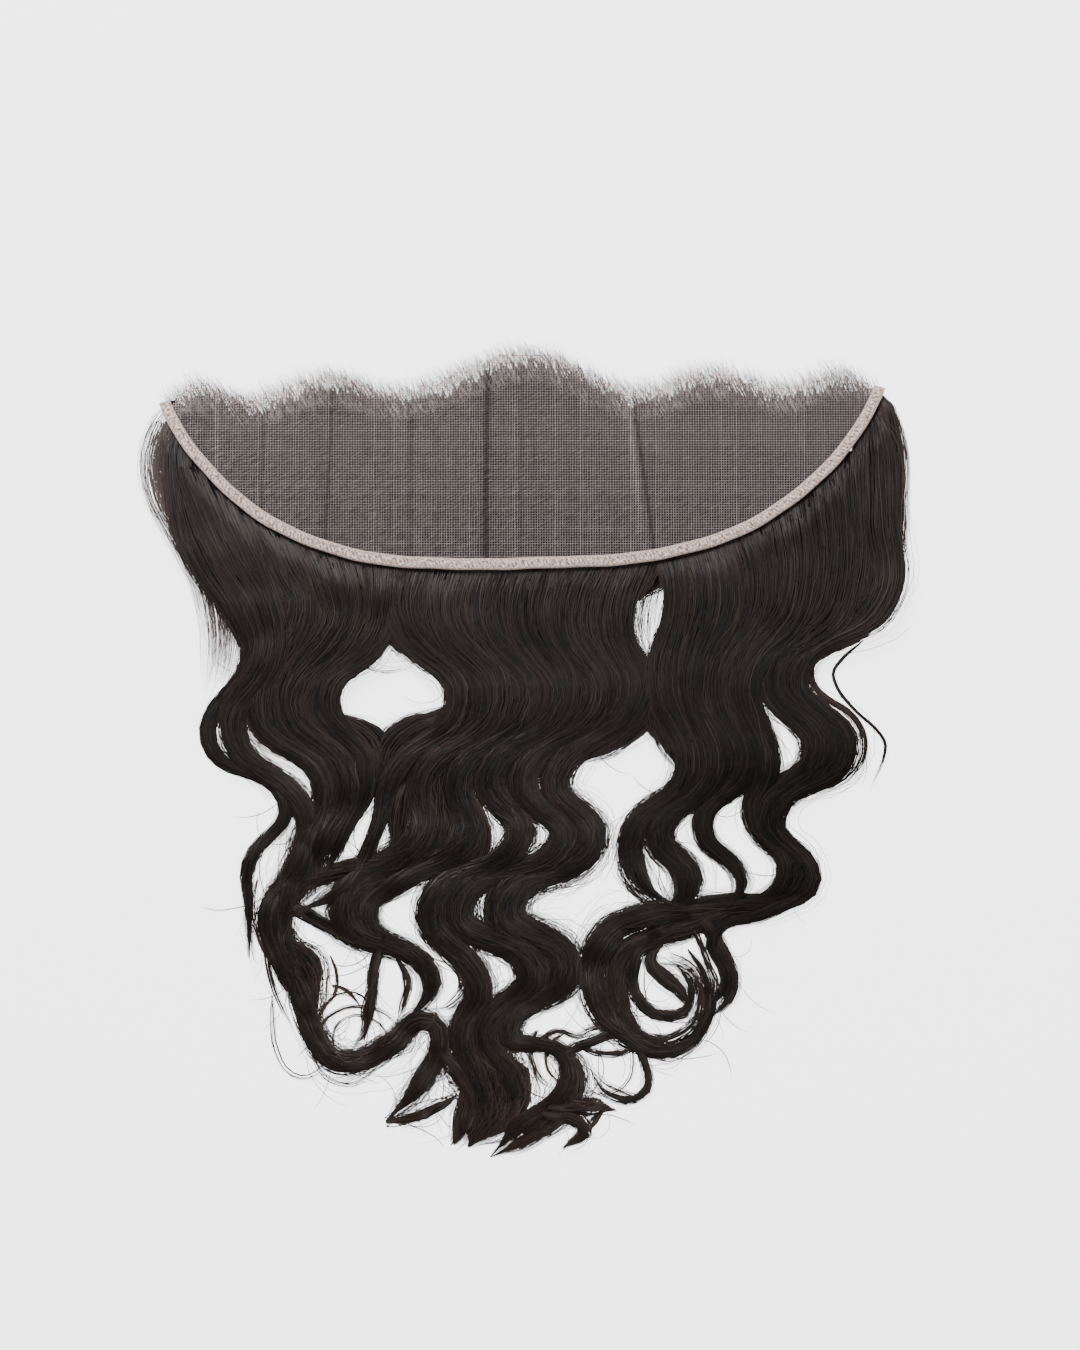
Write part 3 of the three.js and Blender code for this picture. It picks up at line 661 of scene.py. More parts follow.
class GeometryTree(NodeTree):
    """A geometry node tree with named inputs, ending in plain, painted faces."""

    def __init__(self, name, **inputs):
        tree = bpy.data.node_groups.new(name, "GeometryNodeTree")
        super().__init__(tree)
        tree.interface.new_socket("Geometry", in_out="OUTPUT", socket_type="NodeSocketGeometry")
        tree.interface.new_socket("Geometry", in_out="INPUT", socket_type="NodeSocketGeometry")
        for label, kind in inputs.items():
            tree.interface.new_socket(label.replace("_", " "), in_out="INPUT", socket_type=kind)
        self.given = {s.name: s for s in tree.nodes.new("NodeGroupInput").outputs}

    def named(self, name, kind="FLOAT"):
        return self.add("GeometryNodeInputNamedAttribute", name, data_type=kind)

    def store(self, geometry, name, value, domain):
        node = self.add("GeometryNodeStoreNamedAttribute", data_type="FLOAT", domain=domain)
        self.feed(next(s for s in node.inputs if s.name == "Value" and s.enabled), value)
        return self.join(node, Geometry=geometry, Name=name)

    def chance(self, low, high, offset):
        """A random number for each element, from the seed and an offset."""
        node = self.add("FunctionNodeRandomValue", data_type="FLOAT")
        self.feed(node.inputs[2], low)
        self.feed(node.inputs[3], high)
        seed = self.plus(self.given["Seed"], float(offset))
        self.join(node, ID=self.add("GeometryNodeInputIndex"), Seed=seed)
        return node.outputs[1]

    def moved(self, geometry, **inputs):
        return self.join(self.add("GeometryNodeSetPosition"), Geometry=geometry, **inputs)

    def upright(self, curve):
        return self.join(self.add("GeometryNodeSetCurveNormal", mode="Z_UP"), Curve=curve)

    def close(self, curve, width):
        """Ends the tree: curves become flat ribbons of a given width, in the tree's material."""
        line = self.join(self.add("GeometryNodeCurvePrimitiveLine"), Start=(-0.5, 0, 0), End=(0.5, 0, 0))
        ribbon = self.add("GeometryNodeCurveToMesh")
        self.join(ribbon, Curve=curve, Profile_Curve=line, Scale=width)
        whole = self.add("GeometryNodeRealizeInstances", self.add("GeometryNodeSetShadeSmooth", ribbon))
        painted = self.join(self.add("GeometryNodeSetMaterial", whole), Material=self.given["Material"])
        out = self.tree.nodes.new("NodeGroupOutput")
        self.tree.links.new(painted.outputs[0], out.inputs[0])
        return self.tree


def grown(source, tree, name, **values):
    """The mesh that a node tree makes from an object, which takes the object's place."""
    modifier = source.modifiers.new("Grow", "NODES")
    modifier.node_group = tree
    for item in tree.interface.items_tree:
        key = item.name.replace(" ", "_")
        if item.item_type == "SOCKET" and item.in_out == "INPUT" and key in values:
            modifier[item.identifier] = values[key]
    source.update_tag()
    graph = bpy.context.evaluated_depsgraph_get()
    mesh = bpy.data.meshes.new_from_object(source.evaluated_get(graph), depsgraph=graph)
    mesh.name = name
    bpy.data.objects.remove(source)
    return link_object(bpy.data.objects.new(name, mesh))


# Materials
def material(name):
    made = bpy.data.materials.new(name)
    made.use_nodes = True
    return made, NodeTree(made.node_tree), made.node_tree.nodes["Principled BSDF"]


def hair_material(name, brown):
    """Dark hair, darker toward the tips: a share of its strands brown, more toward the tips, and painted
    shade darkens the lower right.
    """
    made, nodes, shader = material(name)
    tone, tint, down = nodes.attribute("tone"), nodes.attribute("tint"), nodes.attribute("down")
    dark = nodes.ramp(tone, (0.0, (0.0034, 0.0026, 0.0027)), (0.6, (0.0066, 0.0048, 0.0047)),
                      (1.0, (0.013, 0.0090, 0.0084)))
    place = nodes.add("ShaderNodeTexCoord").outputs["Object"]
    # Painted shade: the hair is darkened toward the lower right, where it is also made rougher.
    rightward = nodes.remap(nodes.split(place)[0], 0.02, 0.09, 0.0, 1.0)
    lower = nodes.remap(down, 0.1, 0.35, 0.0, 0.85)
    gloss_and_painted_light = nodes.minus(1.0, nodes.times(rightward, lower))
    # Patches of painted light and shade: broad noise lightens and darkens the hair.
    painted_light_patches = nodes.remap(nodes.noise(place, 38.0, 1.0), 0.35, 0.65, 0.55, 1.5)
    depth = nodes.times(nodes.minus(2.05, nodes.times(down, 1.9)), gloss_and_painted_light, painted_light_patches)
    share = nodes.plus(nodes.times(nodes.power(down, 4.0), 0.28), tint)
    share.use_clamp = True
    rough = nodes.minus(nodes.remap(tone, 0.0, 1.0, 0.44, 0.6), nodes.times(down, 0.16))
    rough = nodes.plus(rough, nodes.times(nodes.minus(1.0, gloss_and_painted_light), 0.4))
    colour = nodes.blend(share, nodes.scaled(dark, depth), (*brown, 1))
    nodes.join(shader, Base_Color=colour, Roughness=rough, IOR=1.5, Specular_IOR_Level=0.3,
               Specular_Tint=(1.0, 0.94, 0.91, 1))
    return made


def core_material():
    """The dark mass inside a lock, faintly streaked along its run."""
    made, nodes, shader = material("Hair beneath")
    streak = nodes.noise(nodes.stretched(nodes.add("ShaderNodeUVMap", uv_map="Run"), (60, 3, 1)))
    colour = nodes.ramp(streak, (0.3, (0.003, 0.0025, 0.0025)), (0.7, (0.010, 0.008, 0.0075)))
    nodes.join(shader, Base_Color=colour, Normal=nodes.bump(streak, 0.4 * MM), Roughness=0.6,
               Specular_IOR_Level=0.2)
    return made


def streak_group():
    """Noise drawn out into slanting streaks, and how strong they are: most at the left end of the lace."""
    tree = bpy.data.node_groups.new("Slanting streaks", "ShaderNodeTree")
    for label in ("Turn", "Width", "Length"):
        tree.interface.new_socket(label, in_out="INPUT", socket_type="NodeSocketFloat")
    for label in ("Streak", "Leftward"):
        tree.interface.new_socket(label, in_out="OUTPUT", socket_type="NodeSocketFloat")
    nodes = NodeTree(tree)
    given = tree.nodes.new("NodeGroupInput").outputs
    place = nodes.add("ShaderNodeTexCoord").outputs["Object"]
    run = nodes.add("ShaderNodeMapping", place, vector_type="TEXTURE")
    nodes.join(run, Rotation=nodes.combine(0.0, 0.0, given["Turn"]),
               Scale=nodes.combine(given["Length"], given["Width"], 1.0))
    leftward = nodes.remap(nodes.split(place)[0], -HALF, HALF, 1.0, 0.35)
    nodes.join(tree.nodes.new("NodeGroupOutput"), Streak=nodes.noise(run, detail=1.0), Leftward=leftward)
    return tree


def bed_material(streaks):
    """Hair seen through the lace: dark, with paler slanting hairs, thinning to skin colour in front."""
    made, nodes, shader = material("Hair bed")
    hatch = nodes.add("ShaderNodeGroup", 0.5, 0.55 * MM, 7 * MM, node_tree=streaks).outputs
    pale = nodes.times(nodes.remap(hatch["Streak"], 0.48, 0.66, 0.0, 1.0), hatch["Leftward"])
    hairs = nodes.blend(pale, (0.006, 0.005, 0.005, 1), (0.10, 0.08, 0.076, 1))
    fade = nodes.attribute("fade")
    parting = nodes.add("ShaderNodeGroup", -1.0, 0.7 * MM, 9 * MM, node_tree=streaks).outputs["Streak"]
    parting = nodes.times(nodes.minus(parting, 0.5), 3.0)
    thin = nodes.remap(nodes.plus(fade, nodes.times(parting, fade)), 0.2, 1.1, 0.0, 1.0)
    nodes.join(shader, Base_Color=nodes.blend(thin, hairs, (0.74, 0.62, 0.60, 1)), Roughness=0.7,
               Specular_IOR_Level=0.15)
    return made


def thread_material(streaks):
    """The net's threads: darker along creases in painted shade, paler where the lace lies doubled, and
    glancing in slanting streaks.
    """
    made, nodes, shader = material("Lace thread")
    # The palest tone is mostly the painted light on threads near the hairline.
    base = nodes.ramp(nodes.attribute("tone"), (0.0, (0.110, 0.090, 0.086)), (0.7, (0.36, 0.305, 0.296)),
                      (1.0, (1.0, 0.64, 0.585)))
    # Painted shade along the creases, paler where the lace lies doubled.
    shade = nodes.remap(nodes.attribute("fold"), -1.0, 1.0, 0.3, 1.7)
    hatch = nodes.add("ShaderNodeGroup", 0.5, 0.6 * MM, 6 * MM, node_tree=streaks).outputs
    glance = nodes.times(nodes.remap(hatch["Streak"], 0.35, 0.65, -0.4, 0.4), hatch["Leftward"])
    light = nodes.times(shade, nodes.plus(1.0, glance))
    nodes.join(shader, Base_Color=nodes.scaled(base, light), Roughness=0.75, Specular_IOR_Level=0.2)
    return made


def tape_material():
    """Woven tape: a faint twill over fibre and grain, drawn out along the tape."""
    made, nodes, shader = material("Woven tape")
    uv = nodes.add("ShaderNodeUVMap", uv_map="Run")
    along, around = nodes.split(uv)[:2]
    turns = nodes.plus(nodes.times(along, 2 * math.pi * 0.55), nodes.times(around, 2 * math.pi * 9))
    fibre = nodes.noise(nodes.stretched(uv, (0.7, 20, 1)), detail=4.0)
    grain = nodes.noise(nodes.stretched(uv, (1.8, 34, 1)))
    mixed = nodes.plus(nodes.times(fibre, 0.55), nodes.times(grain, 0.45))
    height = nodes.plus(nodes.times(nodes.math("SINE", turns), 0.035), mixed)
    colour = nodes.ramp(height, (0.40, (0.22, 0.14, 0.11)), (0.49, (0.60, 0.43, 0.37)),
                        (0.59, (1.0, 0.82, 0.74)))
    nodes.join(shader, Base_Color=colour, Normal=nodes.bump(height, 0.25 * MM, 0.8), Roughness=0.85,
               Sheen_Weight=0.2)
    return made


# Node trees
FLOAT = "NodeSocketFloat"
INT = "NodeSocketInt"
MATERIAL = "NodeSocketMaterial"
OBJECT = "NodeSocketObject"


def strand_copies(tree):
    """Copies of each guide, each with its place in the lock, its level, its tone and its tint."""
    curves = tree.add("GeometryNodeMeshToCurve", tree.given["Geometry"])
    copies = tree.add("GeometryNodeDuplicateElements", domain="SPLINE")
    many = tree.join(copies, Geometry=curves, Amount=tree.named("count", "INT")).outputs[0]
    stray = tree.times(tree.given["Stray"], tree.power(tree.chance(0.0, 1.0, 8), 3.0))
    place = tree.times(tree.chance(-1.0, 1.0, 1), tree.plus(0.93, stray))
    many = tree.store(many, "place", place, "CURVE")
    many = tree.store(many, "level", tree.chance(tree.given["Lowest"], 1.0, 2), "CURVE")
    many = tree.store(many, "tone", tree.chance(0.0, 1.0, 3), "CURVE")
    rare = tree.power(tree.chance(0.0, 1.0, 9), 6.0)
    rim = tree.power(tree.math("ABSOLUTE", tree.named("place")), 6.0)
    tint = tree.plus(tree.times(rare, 0.42), tree.times(rim, 0.22))
    warm = tree.times(tree.named("warm"), tree.chance(0.2, 1.4, 10))
    return tree.store(many, "tint", tree.math("MINIMUM", tree.plus(tint, warm), 1.0), "CURVE")


def kept_under(tree, strands, cover, slack):
    """Lowers what stands above a cover, with some slack below it."""
    surface = tree.join(tree.add("GeometryNodeObjectInfo"), Object=cover).outputs["Geometry"]
    x, y, z = tree.split(tree.add("GeometryNodeInputPosition"))
    ray = tree.join(tree.add("GeometryNodeRaycast"), Target_Geometry=surface,
                    Source_Position=tree.combine(x, y, -1.0), Ray_Direction=(0, 0, 1), Ray_Length=10)
    top = tree.minus(tree.split(ray.outputs["Hit Position"])[2], slack)
    under = tree.math("MAXIMUM", tree.math("MINIMUM", z, top), LOWEST_HAIR)
    return tree.moved(strands, Selection=ray.outputs["Is Hit"], Position=tree.combine(x, y, under))


def strand_tree():
    """Many strands along each lock: spread over its width and height, wandering, cut to length."""
    tree = GeometryTree("Strands", Strand_width=FLOAT, Spread=FLOAT, Stray=FLOAT, Wander=FLOAT, Curl=FLOAT,
                        Latest=FLOAT, Shortest=FLOAT, Lowest=FLOAT, Seed=INT, Ceiling=OBJECT,
                        Material=MATERIAL)
    given = tree.given
    trimmed = tree.join(tree.add("GeometryNodeTrimCurve", mode="FACTOR"), Curve=strand_copies(tree),
                        Start=tree.chance(0.0, given["Latest"], 4),
                        End=tree.chance(given["Shortest"], 1.0, 5))
    run = tree.add("GeometryNodeSplineParameter").outputs
    tone, crowning = tree.named("tone"), tree.named("crown")

    def drift(rate, shift):
        """A wander along a strand, from -0.5 to 0.5."""
        where = tree.combine(tree.times(run["Length"], rate), tree.plus(tree.times(tone, 171.0), shift), 0.0)
        return tree.minus(tree.noise(where, 1.0, 1.0, "2D"), 0.5)

    def part(rate):
        """A further random share of a strand, from its tone."""
        return tree.math("FRACT", tree.times(tone, rate))

    sideways = tree.times(drift(20.0, 0.0), given["Wander"])
    sideways = tree.plus(sideways, tree.times(drift(75.0, 3.0), given["Curl"]))
    sideways = tree.times(sideways, tree.plus(0.3, tree.named("down")))
    # Strands draw together toward the middle of each lock where it is crowned.
    hold = tree.minus(given["Spread"], tree.times(crowning, 0.14))
    across = tree.plus(tree.times(tree.named("place"), hold), sideways)
    bow = tree.times(crowning, tree.times(across, across))
    crown = tree.math("MAXIMUM", tree.minus(1.0, bow), 0.1)
    lift = tree.times(tree.named("rise"), crown, tree.named("level"))
    lift = tree.plus(lift, tree.times(drift(34.0, 5.0), 2.8 * MM))
    lift = tree.math("MAXIMUM", lift, LOWEST_HAIR)
    offset = tree.add("ShaderNodeVectorMath", tree.scaled(tree.named("side", "FLOAT_VECTOR"), across),
                      tree.combine(0.0, 0.0, lift), operation="ADD")
    moved = tree.moved(trimmed, Offset=offset)
    settled = kept_under(tree, moved, given["Ceiling"], tree.times(part(53.0), 0.9 * MM))
    # A strand faces outwards from the middle of its lock, give or take.
    outward = tree.times(tree.named("place"), crowning, -0.3)
    tilt = tree.plus(outward, tree.times(tree.minus(part(37.0), 0.5), 0.4))
    turned = tree.join(tree.add("GeometryNodeSetCurveTilt"), Curve=tree.upright(settled), Tilt=tilt)
    point = tree.minus(1.0, tree.times(0.8, tree.power(run["Factor"], 6.0)))
    # Loose hairs beside a lock are finer than those in it.
    fine = tree.math("MAXIMUM", tree.minus(1.15, tree.times(tree.power(across, 2.0), 0.4)), 0.5)
    variety = tree.plus(0.6, tree.times(part(13.0), 0.8))
    return tree.close(turned, tree.times(given["Strand width"], point, fine, variety))


def thread_tree():
    """Flat threads along every edge chain of a net."""
    tree = GeometryTree("Net threads", Thread_width=FLOAT, Material=MATERIAL)
    curves = tree.add("GeometryNodeMeshToCurve", tree.given["Geometry"])
    return tree.close(tree.upright(curves), tree.times(tree.given["Thread width"], tree.named("thick")))


def short_hair_tree():
    """Short bent hairs along a line, each with its own place, length, slant and lift."""
    tree = GeometryTree("Short hairs", Hairs=INT, Hair_length=FLOAT, Hair_width=FLOAT, Slant=FLOAT,
                        Turn=FLOAT, Scatter=FLOAT, Seed=INT, Material=MATERIAL)
    given = tree.given
    curves = tree.add("GeometryNodeMeshToCurve", given["Geometry"])
    roots = tree.join(tree.add("GeometryNodeResampleCurve"), Curve=curves, Count=given["Hairs"])
    shift = tree.combine(tree.chance(-1.2 * MM, 1.2 * MM, 1),
                         tree.times(tree.chance(-1.0, -0.05, 2), given["Scatter"]),
                         tree.chance(-0.6 * MM, 0.1 * MM, 7))
    hair = tree.join(tree.add("GeometryNodeCurvePrimitiveBezierSegment"), Resolution=5, Start=(0, 0, 0),
                     Start_Handle=(0, 0.35, 0.05), End_Handle=(0.03, 0.7, 0.10), End=(-0.10, 1.0, 0.02))
    swing = tree.times(tree.chance(-1.0, 1.0, 4), given["Turn"])
    turn = tree.combine(tree.chance(-0.05, 0.25, 3), 0.0, tree.plus(given["Slant"], swing))
    placed = tree.join(tree.add("GeometryNodeInstanceOnPoints"), Points=tree.moved(roots, Offset=shift),
                       Instance=hair, Rotation=turn,
                       Scale=tree.times(given["Hair length"], tree.chance(0.45, 1.25, 5)))
    kept = tree.store(placed, "tone", tree.chance(0.0, 1.0, 6), "INSTANCE")
    kept = tree.store(kept, "tint", tree.chance(0.0, 0.35, 9), "INSTANCE")
    whole = tree.add("GeometryNodeRealizeInstances", kept)
    run = tree.add("GeometryNodeSplineParameter").outputs
    point = tree.minus(1.0, tree.times(0.7, run["Factor"]))
    return tree.close(tree.upright(whole), tree.times(given["Hair width"], point))


# Lace
def chain_edges(start, count):
    return [(start + k, start + k + 1) for k in range(count - 1)]


def net_lines():
    """The net's threads as chains of points: those that run back, then those that run across."""
    rng = random.Random(11)
    verts, edges, tones, crease_shade_tones, thick = [], [], [], [], []

    def chain(points, tone, weight, phase):
        start = len(verts)
        for k, (x, y) in enumerate(points):
            over = THREAD_WEAVE if (k + phase) % 2 else -THREAD_WEAVE
            verts.append((x, y, lace_height(x, y) + over))
            behind = max(0.0, hairline_y(along_at(x)) - y)
            # Threads near the hairline are given a paler tone, painted light, and are drawn wider.
            rim = math.exp(-(behind / NET_RIM) ** 2)
            tones.append(mix(clamp(tone + rng.uniform(-0.16, 0.16)) * 0.7, 1.0, 0.85 * rim))
            # Tone of the creases: painted shade where darker, doubled lace where paler.
            crease_shade_tones.append(clamp(crease_at(x, y)[1], -1, 1))
            thick.append(weight * mix(1.0, 1.3, rim))
        edges.extend(chain_edges(start, len(points)))

    columns = int((LACE_WIDTH - NET_MARGIN) / NET_PITCH)
    fronts = []
    for i in range(columns + 1):
        x0 = SHIFT_X + (i - columns / 2) * NET_PITCH
        back = rear_edge(along_at(x0))[1] + 0.8 * MM
        front = hairline_y(along_at(x0)) + rng.uniform(-2.4, 0.6) * MM
        steps = max(1, int((front - back) / NET_PITCH))
        sway = rng.uniform(-0.12, 0.12) * MM
        points = [(x0 + sway * math.sin(k * 0.21 + i), back + (front - back) * k / steps)
                  for k in range(steps + 1)]
        tone = 0.9 if rng.random() < 0.05 else rng.uniform(0.35, 0.7)
        chain(points, tone, 1.15 if tone > 0.8 else 1.0, i)
        fronts.append((x0, back, front))
    fronts.append((0, 0, 0))
    for j in range(int(LACE_DEPTH * 1.05 / NET_PITCH)):
        y = SHIFT_Y + j * NET_PITCH
        run = []
        tone = rng.uniform(0.3, 0.72)
        for x0, back, front in fronts:
            if back < y < front:
                run.append((x0, y))
            else:
                if len(run) > 2:
                    chain(run, tone, 1.0, j + 1)
                run = []
    attributes = {"tone": ("FLOAT", tones), "fold": ("FLOAT", crease_shade_tones), "thick": ("FLOAT", thick)}
    return mesh_object("net_lines", verts, edges, attributes=attributes)


# Tape over the rear edge
def tape_piece(finish):
    """A flattened tube along the rear edge, with waved sides."""
    verts, places, faces = [], [], []
    travelled, before = 0.0, None
    for i in range(TAPE_STATIONS + 1):
        along = math.sin((i / TAPE_STATIONS - 0.5) * math.pi)
        x, y = rear_edge(along)
        nx, ny = rear_normal(along)
        if before:
            travelled += math.hypot(x - before[0], y - before[1])
        before = (x, y)
        wave = 0.18 * MM * math.sin(travelled / (9 * MM)) + 0.12 * MM * math.sin(travelled / (3.7 * MM) + 1)
        outer, inner = TAPE_OUTER + wave, TAPE_OUTER - TAPE_WIDTH + 0.6 * wave
        for k in range(TAPE_SIDES):
            angle = 2 * math.pi * k / TAPE_SIDES
            # A flattened oval: broad, level faces and tight round edges.
            across = math.copysign(abs(math.cos(angle)) ** 0.45, math.cos(angle))
            upward = math.copysign(abs(math.sin(angle)) ** 0.75, math.sin(angle))
            out = mix(inner, outer, 0.5 + across / 2)
            px, py = x + nx * out, y + ny * out
            verts.append((px, py, lace_height(px, py, False) + TAPE_HALF_THICK * upward))
            places.append((travelled / MM, k / TAPE_SIDES))
    for i in range(TAPE_STATIONS):
        for k in range(TAPE_SIDES):
            a, b = i * TAPE_SIDES + k, i * TAPE_SIDES + (k + 1) % TAPE_SIDES
            faces.append((a, a + TAPE_SIDES, b + TAPE_SIDES, b))
    end = TAPE_STATIONS * TAPE_SIDES
    faces.append(tuple(range(TAPE_SIDES)))
    faces.append(tuple(end + k for k in reversed(range(TAPE_SIDES))))
    tape = mesh_object("tape", verts, faces=faces)
    add_run(tape.data, places)
    return finished(tape, finish)


# Hair
def waved_height(place, index):
    """The height of a lock, crested where it bends."""
    depth = mix(0.05, 0.19, ease(clamp((place.down - 0.12) / 0.4)))
    return lock_height(place, index) * (1 - depth + depth * place.wave)


def chain_object(name, chains):
    """Guide chains: for each, its places' positions and what the strands on it need to know."""
    verts, edges = [], []
    data = {"side": [], "rise": [], "down": [], "crown": [], "warm": [], "count": []}
    for count, warm, places in chains:
        start = len(verts)
        for x, y, side, rise, down, crown in places:
            verts.append((x, y, 0))
            for key, value in zip(data, (side, rise, down, crown, warm, count)):
                data[key].append(value)
        edges.extend(chain_edges(start, len(places)))
    kinds = {"side": "FLOAT_VECTOR", "count": "INT"}
    attributes = {key: (kinds.get(key, "FLOAT"), values) for key, values in data.items()}
    return mesh_object(name, verts, edges, attributes=attributes)


def mean_width(route):
    return sum(p.width for p in route) / len(route)


def guide_places(route, index):
    """A lock's places for its strands, which draw together at a free end."""
    places = []
    last = len(route) - 1
    for k, p in enumerate(route):
        taper = END_TAPER[min(last - k, 3)]
        if route[0].down > 0.05:
            taper *= END_TAPER[min(k, 3)]
        crown = mix(0.12, 0.72, ease(clamp((p.down - 0.16) / 0.3)))
        half = Vector((p.side[0], p.side[1], 0)) * p.width * taper / 2
        places.append((p.x, p.y, half, waved_height(p, index), p.down, crown))
    return places


def lock_chains(rows, density):
    """Guides for the locks, with a number of strands for each millimetre of mean width."""
    chains = []
    for index, (lean, bends) in enumerate(rows):
        route = lock_route(lean, bends, step=3.6 * MM if lean == 1.0 else 5.6 * MM)
        strands_here = max(3, round(mean_width(route) / MM * density))
        chains.append((strands_here, 0.0, guide_places(route, index)))
    return chains


def wisp_chains(rows, warm):
    return [(count, warm, guide_places(lock_route(lean, bends, True, 3.8 * MM), index))
            for index, (lean, count, bends) in enumerate(rows)]


def curtain_chains(outer, inner, rows, each):
    """A sheer curtain of single hairs, from an outer route to an inner one."""
    chains = []
    for k in range(rows):
        t = k / (rows - 1)
        bends = [tuple(mix(a, b, t) for a, b in zip(p, q)) for p, q in zip(outer, inner)]
        places = guide_places(lock_route(0.5, bends, True, 7 * MM), k)
        chains.append((max(1, round(each * (0.5 + t))), 0.8, places))
    return chains


def stray_chains(rows, seed):
    """Single hairs that leave the lower locks and curl across the gaps."""
    rng = random.Random(seed)
    routes = [lock_route(lean, bends) for lean, bends in rows]
    low, high = cad_box[0], cad_box[1]
    chains = []
    while len(chains) < STRAY_HAIRS:
        route = rng.choice(routes)
        k = rng.randrange(len(route) - 2)
        a, b = route[k], route[k + 1]
        if a.down < rng.random() * 0.75:
            continue
        hand = rng.choice((-0.45, 0.45))
        x, y = a.x + hand * a.side[0] * a.width, a.y + hand * a.side[1] * a.width
        heading = math.atan2(b.y - a.y, b.x - a.x) + rng.uniform(-0.9, 0.9)
        bend = rng.choice((-1, 1)) / rng.uniform(7 * MM, 40 * MM)
        step, sway = rng.uniform(1.6, 3.4) * MM, rng.uniform(-0.06, 0.06)
        places = []
        for n in range(STRAY_STEPS):
            places.append((x, y, Vector((MM, 0, 0)), (4 - 0.2 * n) * MM, a.down, 0.0))
            heading += bend * step + sway * math.sin(n * 0.8)
            x, y = x + step * math.cos(heading), y + step * math.sin(heading)
        if all(low[0] < p[0] < high[0] and low[1] < p[1] < high[1] for p in places):
            chains.append((1, 0.5, places))
    return chains


def bed_chains():
    """Guides under the lace, from just behind the hairline back toward the tape."""
    chains = []
    for i in range(BED_GUIDES):
        share = i / (BED_GUIDES - 1)
        along = mix(-0.965, 0.965, share)
        x = along * HALF + SHIFT_X
        front = hairline_y(along) - 1.2 * MM
        back = max(rear_edge(along)[1] + 2 * MM, front - BED_REACH)
        lean = mix(0.7, 0.3, share) + 0.1 * math.sin(i * 0.9)
        half = Vector((0.75 * LACE_WIDTH / BED_GUIDES, 0, 0))
        places = []
        for k in range(7):
            y = mix(front, back, k / 6)
            places.append((x + lean * (front - y), y, half, lace_height(x, y, False) - 1.1 * MM, 0.0, 0.0))
        chains.append((BED_STRANDS, 0.15, places))
    return chains


def ceiling():
    """A surface just under the lace and the tape, rising clear beyond them."""
    verts, faces = [], []
    for i in range(CEILING_STEPS + 1):
        along = mix(-1.06, 1.06, i / CEILING_STEPS)
        x = along * HALF + SHIFT_X
        rear = rear_edge(along)[1]
        front = max(hairline_y(along), rear + MM)
        depths = [front + 12 * MM, front, mix(rear, front, 0.6)]
        depths += [rear + beyond * MM for beyond in CEILING_OFFSETS]
        for y in depths:
            room = headroom(x, y)
            if y > rear + 6 * MM:
                room += 0.9 * MM
            verts.append((x, y, room))
    width = len(depths)
    for i in range(CEILING_STEPS):
        for j in range(width - 1):
            a = i * width + j
            faces.append((a, a + 1, a + width + 1, a + width))
    return mesh_object("ceiling", verts, faces=faces)


def core_piece(name, routes, finish):
    """The solid dark body of each lock, which the strands lie on."""
    verts, faces, places = [], [], []
    section = [(math.cos(a), math.sin(a)) for a in (math.pi * k / 8 for k in range(9))]
    sides = len(section)
    for index, route in routes:
        start = len(verts)
        for k, p in enumerate(route):
            free = ease(clamp((p.down - 0.2) / 0.3))
            tip = clamp((len(route) - 1 - k) / 5)
            if p.down > 0.1:
                tip = min(tip, clamp(k / 4) if route[0].down > 0.1 else 1)
            crown = mix(0.35, 1.0, free)
            height = waved_height(p, index) * 0.82 * mix(0.3, 1, tip)
            half = p.width / 2 * mix(1.04, 0.84, free) * mix(0.15, 1, tip)
            for across, up in section:
                x, y = p.x + p.side[0] * across * half, p.y + p.side[1] * across * half
                z = BODY_BOTTOM + max(0.0, up) ** crown * height
                verts.append((x, y, max(BODY_BOTTOM, min(z, headroom(x, y) - 0.5 * MM))))
                places.append((across * half / MM, k * 6.0))
        for k in range(len(route) - 1):
            for s in range(sides):
                a, b = start + k * sides + s, start + k * sides + (s + 1) % sides
                faces.append((a, b, b + sides, a + sides))
        end = start + (len(route) - 1) * sides
        faces.append(tuple(start + s for s in reversed(range(sides))))
        faces.append(tuple(end + s for s in range(sides)))
    core = mesh_object(name, verts, faces=faces)
    add_run(core.data, places)
    return finished(core, finish)


